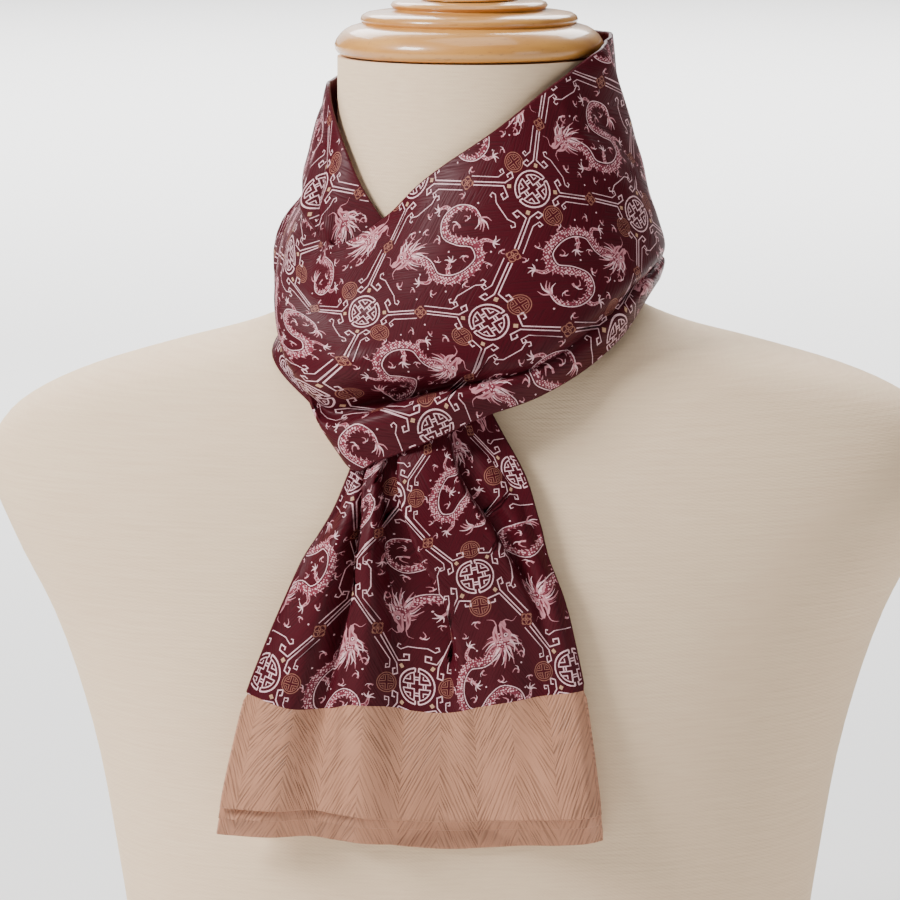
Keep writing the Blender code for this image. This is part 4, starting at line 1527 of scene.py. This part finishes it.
def chevron_weave(tree):
    """The height of the woven chevrons, 0 to 1, and the flat cloth's own coordinates."""
    flat = add_node(tree, "ShaderNodeUVMap", uv_map="flat_cloth").outputs["UV"]
    u, v, _ = parts_of(tree, flat)
    along = maths(tree, "MULTIPLY", u, UV_TO_MM)
    across = maths(tree, "MULTIPLY_ADD", v, UV_TO_MM, CHEVRON_SHIFT)
    fold = maths(tree, "PINGPONG", across, CHEVRON_WIDTH)
    column = maths(tree, "FLOOR", maths(tree, "DIVIDE", across, CHEVRON_WIDTH))
    over = maths(tree, "MULTIPLY_ADD", fold, CHEVRON_SLOPE, along)
    reach = maths(tree, "MULTIPLY_ADD", along, -CHEVRON_SLOPE, fold)
    sway = stroke_noise(tree, over, reach, column, *SWAY_NOISE)
    breaks = stroke_noise(tree, over, reach, column, *BREAK_NOISE)
    patches = stroke_noise(tree, over, reach, column, *PATCH_NOISE)
    phase = maths(tree, "MULTIPLY_ADD", sway, STROKE_SWAY, maths(tree, "MULTIPLY", over, STROKE_TURN))
    lines = maths(tree, "MULTIPLY_ADD", maths(tree, "SINE", phase), 0.5, 0.5)
    whole = held_0_to_1(tree, maths(tree, "MULTIPLY_ADD", breaks, *BREAK_SHARE))
    strength = maths(tree, "MULTIPLY_ADD", patches, *PATCH_SHARE)
    dip = maths(tree, "MULTIPLY", maths(tree, "MULTIPLY", lines, whole), strength)
    return held_0_to_1(tree, maths(tree, "SUBTRACT", WEAVE_LEVEL, dip)), flat


print("chevrons across the scarf:", round(TAIL_WIDTH / (2 * CHEVRON_WIDTH), 1))

# %% [markdown]
# ### Printed and plain silk
#
# On the printed silk the number of the ink on each triangle becomes a colour, and small round dots make
# the dragons' scales. The borders are the same weave, dyed champagne, and there the strokes show far
# more. The weave changes the tone, the gloss and the relief of both.

# %% Silk
INK_COLOURS = {
    GROUND: (0.058, 0.0046, 0.0090, 1.0),
    PALE: (0.74, 0.46, 0.49, 1.0),
    SCALES: (0.17, 0.030, 0.045, 1.0),
    TAN: (0.27, 0.105, 0.075, 1.0),
    PEACH: (0.50, 0.29, 0.18, 1.0),
    BLUSH: (0.50, 0.205, 0.235, 1.0),
    ROSE: (0.19, 0.045, 0.060, 1.0),
}
INK_STEPS = 8.0           # the ramp from one ink to the next has room for this many
SCALE_COLOUR = (0.68, 0.37, 0.40, 1.0)
SCALES_TO_UNIT = 96.0     # dots on the dragons' bodies, to one unit of the flat map
CHAMPAGNE_DARK = (0.40, 0.182, 0.105, 1.0)
CHAMPAGNE_LIGHT = (0.47, 0.225, 0.135, 1.0)
WEAVE_DEPTH = 0.0004
WEAVE_GLOSS = (-0.22, 0.56)     # the higher the weave, the less rough it is


def printed_shade(tree, flat):
    """The ink on each triangle becomes a colour, and the dragons' bodies get their scales."""
    ink = add_node(tree, "ShaderNodeAttribute", attribute_name="ink",
                   attribute_type="GEOMETRY").outputs["Fac"]
    ramp = add_node(tree, "ShaderNodeValToRGB")
    stops = ramp.color_ramp
    stops.interpolation = "CONSTANT"
    while len(stops.elements) < len(INK_COLOURS):
        stops.elements.new(1.0)
    for number, colour in INK_COLOURS.items():
        stops.elements[number].position = max(0.0, (number - 0.5) / INK_STEPS)
        stops.elements[number].color = colour
    feed(tree, ramp.inputs["Fac"], maths(tree, "DIVIDE", ink, INK_STEPS))
    dots = add_node(tree, "ShaderNodeTexVoronoi", feature="F1")
    dots.inputs["Scale"].default_value = SCALES_TO_UNIT
    dots.inputs["Randomness"].default_value = 0.45
    feed(tree, dots.inputs["Vector"], flat)
    dotted = maths(tree, "MULTIPLY", maths(tree, "LESS_THAN", dots.outputs["Distance"], 0.40),
                   maths(tree, "COMPARE", ink, float(SCALES), 0.4))
    return mixed(tree, dotted, ramp.outputs["Color"], SCALE_COLOUR)


def champagne_shade(tree, flat):
    """Champagne silk, dyed a little unevenly."""
    return mixed(tree, noise(tree, flat, scale=3.0), CHAMPAGNE_DARK, CHAMPAGNE_LIGHT)


def silk_material(name, shade, weave_share, bump, gloss):
    """Jacquard silk: the woven chevrons change its tone, its gloss and its surface."""
    material = plain_material(name, CHAMPAGNE_LIGHT, 0.5)
    tree = material.node_tree
    shader = tree.nodes["Principled BSDF"]
    weave, flat = chevron_weave(tree)
    tone = maths(tree, "MULTIPLY_ADD", weave, 2 * weave_share, 1.0 - weave_share)
    grey = vector_of(tree, tone, tone, tone)
    feed(tree, shader.inputs["Base Color"], mixed(tree, 1.0, shade(tree, flat), grey, "MULTIPLY"))
    feed(tree, shader.inputs["Roughness"], maths(tree, "MULTIPLY_ADD", weave, *WEAVE_GLOSS))
    raise_surface(tree, weave, bump, WEAVE_DEPTH)
    shader.inputs["Specular IOR Level"].default_value = gloss
    return material


dressed([wrap] + tails, silk_material("printed_silk", printed_shade, 0.20, 0.30, 0.11))
dressed(borders, silk_material("champagne_silk", champagne_shade, 0.30, 0.90, 0.30))

# %% [markdown]
# ### Linen
#
# The form is covered in unbleached linen, a plain weave with thicker threads here and there. From this
# distance the slubs show more than single threads do. The weft runs level and the warp upright.

# %% Linen
WEFT_TURN = 4700.0        # radians to a metre of height
WARP_TURN = 290.0         # radians to a radian round the axis
SLUB_ROUND = 7.0          # slubs are long round the form and thin upwards
SLUB_UP = 900.0
LINEN_DARK = (0.80, 0.565, 0.365, 1.0)
LINEN_LIGHT = (0.94, 0.725, 0.485, 1.0)


def linen_material():
    """Unbleached linen: a plain weave with slubs along the weft."""
    material = plain_material("drawn_linen", LINEN_LIGHT, 0.88)
    tree = material.node_tree
    x, y, z = parts_of(tree, add_node(tree, "ShaderNodeTexCoord").outputs["Object"])
    turn = maths(tree, "ARCTAN2", x, y)
    woven = maths(tree, "MULTIPLY", maths(tree, "SINE", maths(tree, "MULTIPLY", turn, WARP_TURN)),
                  maths(tree, "SINE", maths(tree, "MULTIPLY", z, WEFT_TURN)))
    slubs = noise(tree, vector_of(tree, maths(tree, "MULTIPLY", turn, SLUB_ROUND),
                                  maths(tree, "MULTIPLY", z, SLUB_UP)), detail=3.0)
    tone = maths(tree, "MULTIPLY_ADD", woven, 0.07, slubs)
    feed(tree, tree.nodes["Principled BSDF"].inputs["Base Color"], mixed(tree, tone, LINEN_DARK, LINEN_LIGHT))
    raise_surface(tree, maths(tree, "MULTIPLY_ADD", woven, 0.12, slubs), 0.60, 0.0003)
    return material


dressed([form], linen_material())

# %% [markdown]
# ### Beech
#
# Turned beech is pale and warm, with a long fine grain and short dark flecks. A clear varnish over it
# gives the hard round highlights.

# %% Beech
GRAIN_SCALES = (8.0, 60.0, 190.0)
FLECK_SCALES = (160.0, 700.0, 900.0)
BEECH_DARK = (0.40, 0.135, 0.020, 1.0)
BEECH_LIGHT = (0.80, 0.40, 0.090, 1.0)
FLECK_COLOUR = (0.28, 0.11, 0.04, 1.0)


def beech_material():
    """Varnished beech: long grain across the cap, short dark flecks, and a clear coat."""
    material = plain_material("varnished_beech", BEECH_LIGHT, 0.42)
    tree = material.node_tree
    shader = tree.nodes["Principled BSDF"]
    place = add_node(tree, "ShaderNodeTexCoord").outputs["Object"]
    grain = noise(tree, stretched(tree, place, GRAIN_SCALES), detail=4.0, distortion=0.6)
    flecks = noise(tree, stretched(tree, place, FLECK_SCALES))
    spots = maths(tree, "MULTIPLY", maths(tree, "GREATER_THAN", flecks, 0.66), 0.35)
    wood = mixed(tree, grain, BEECH_DARK, BEECH_LIGHT)
    feed(tree, shader.inputs["Base Color"], mixed(tree, spots, wood, FLECK_COLOUR))
    raise_surface(tree, grain, 0.10, 0.0002)
    shader.inputs["Coat Weight"].default_value = 0.75
    shader.inputs["Coat Roughness"].default_value = 0.12
    return material


dressed([cap, knob], beech_material())
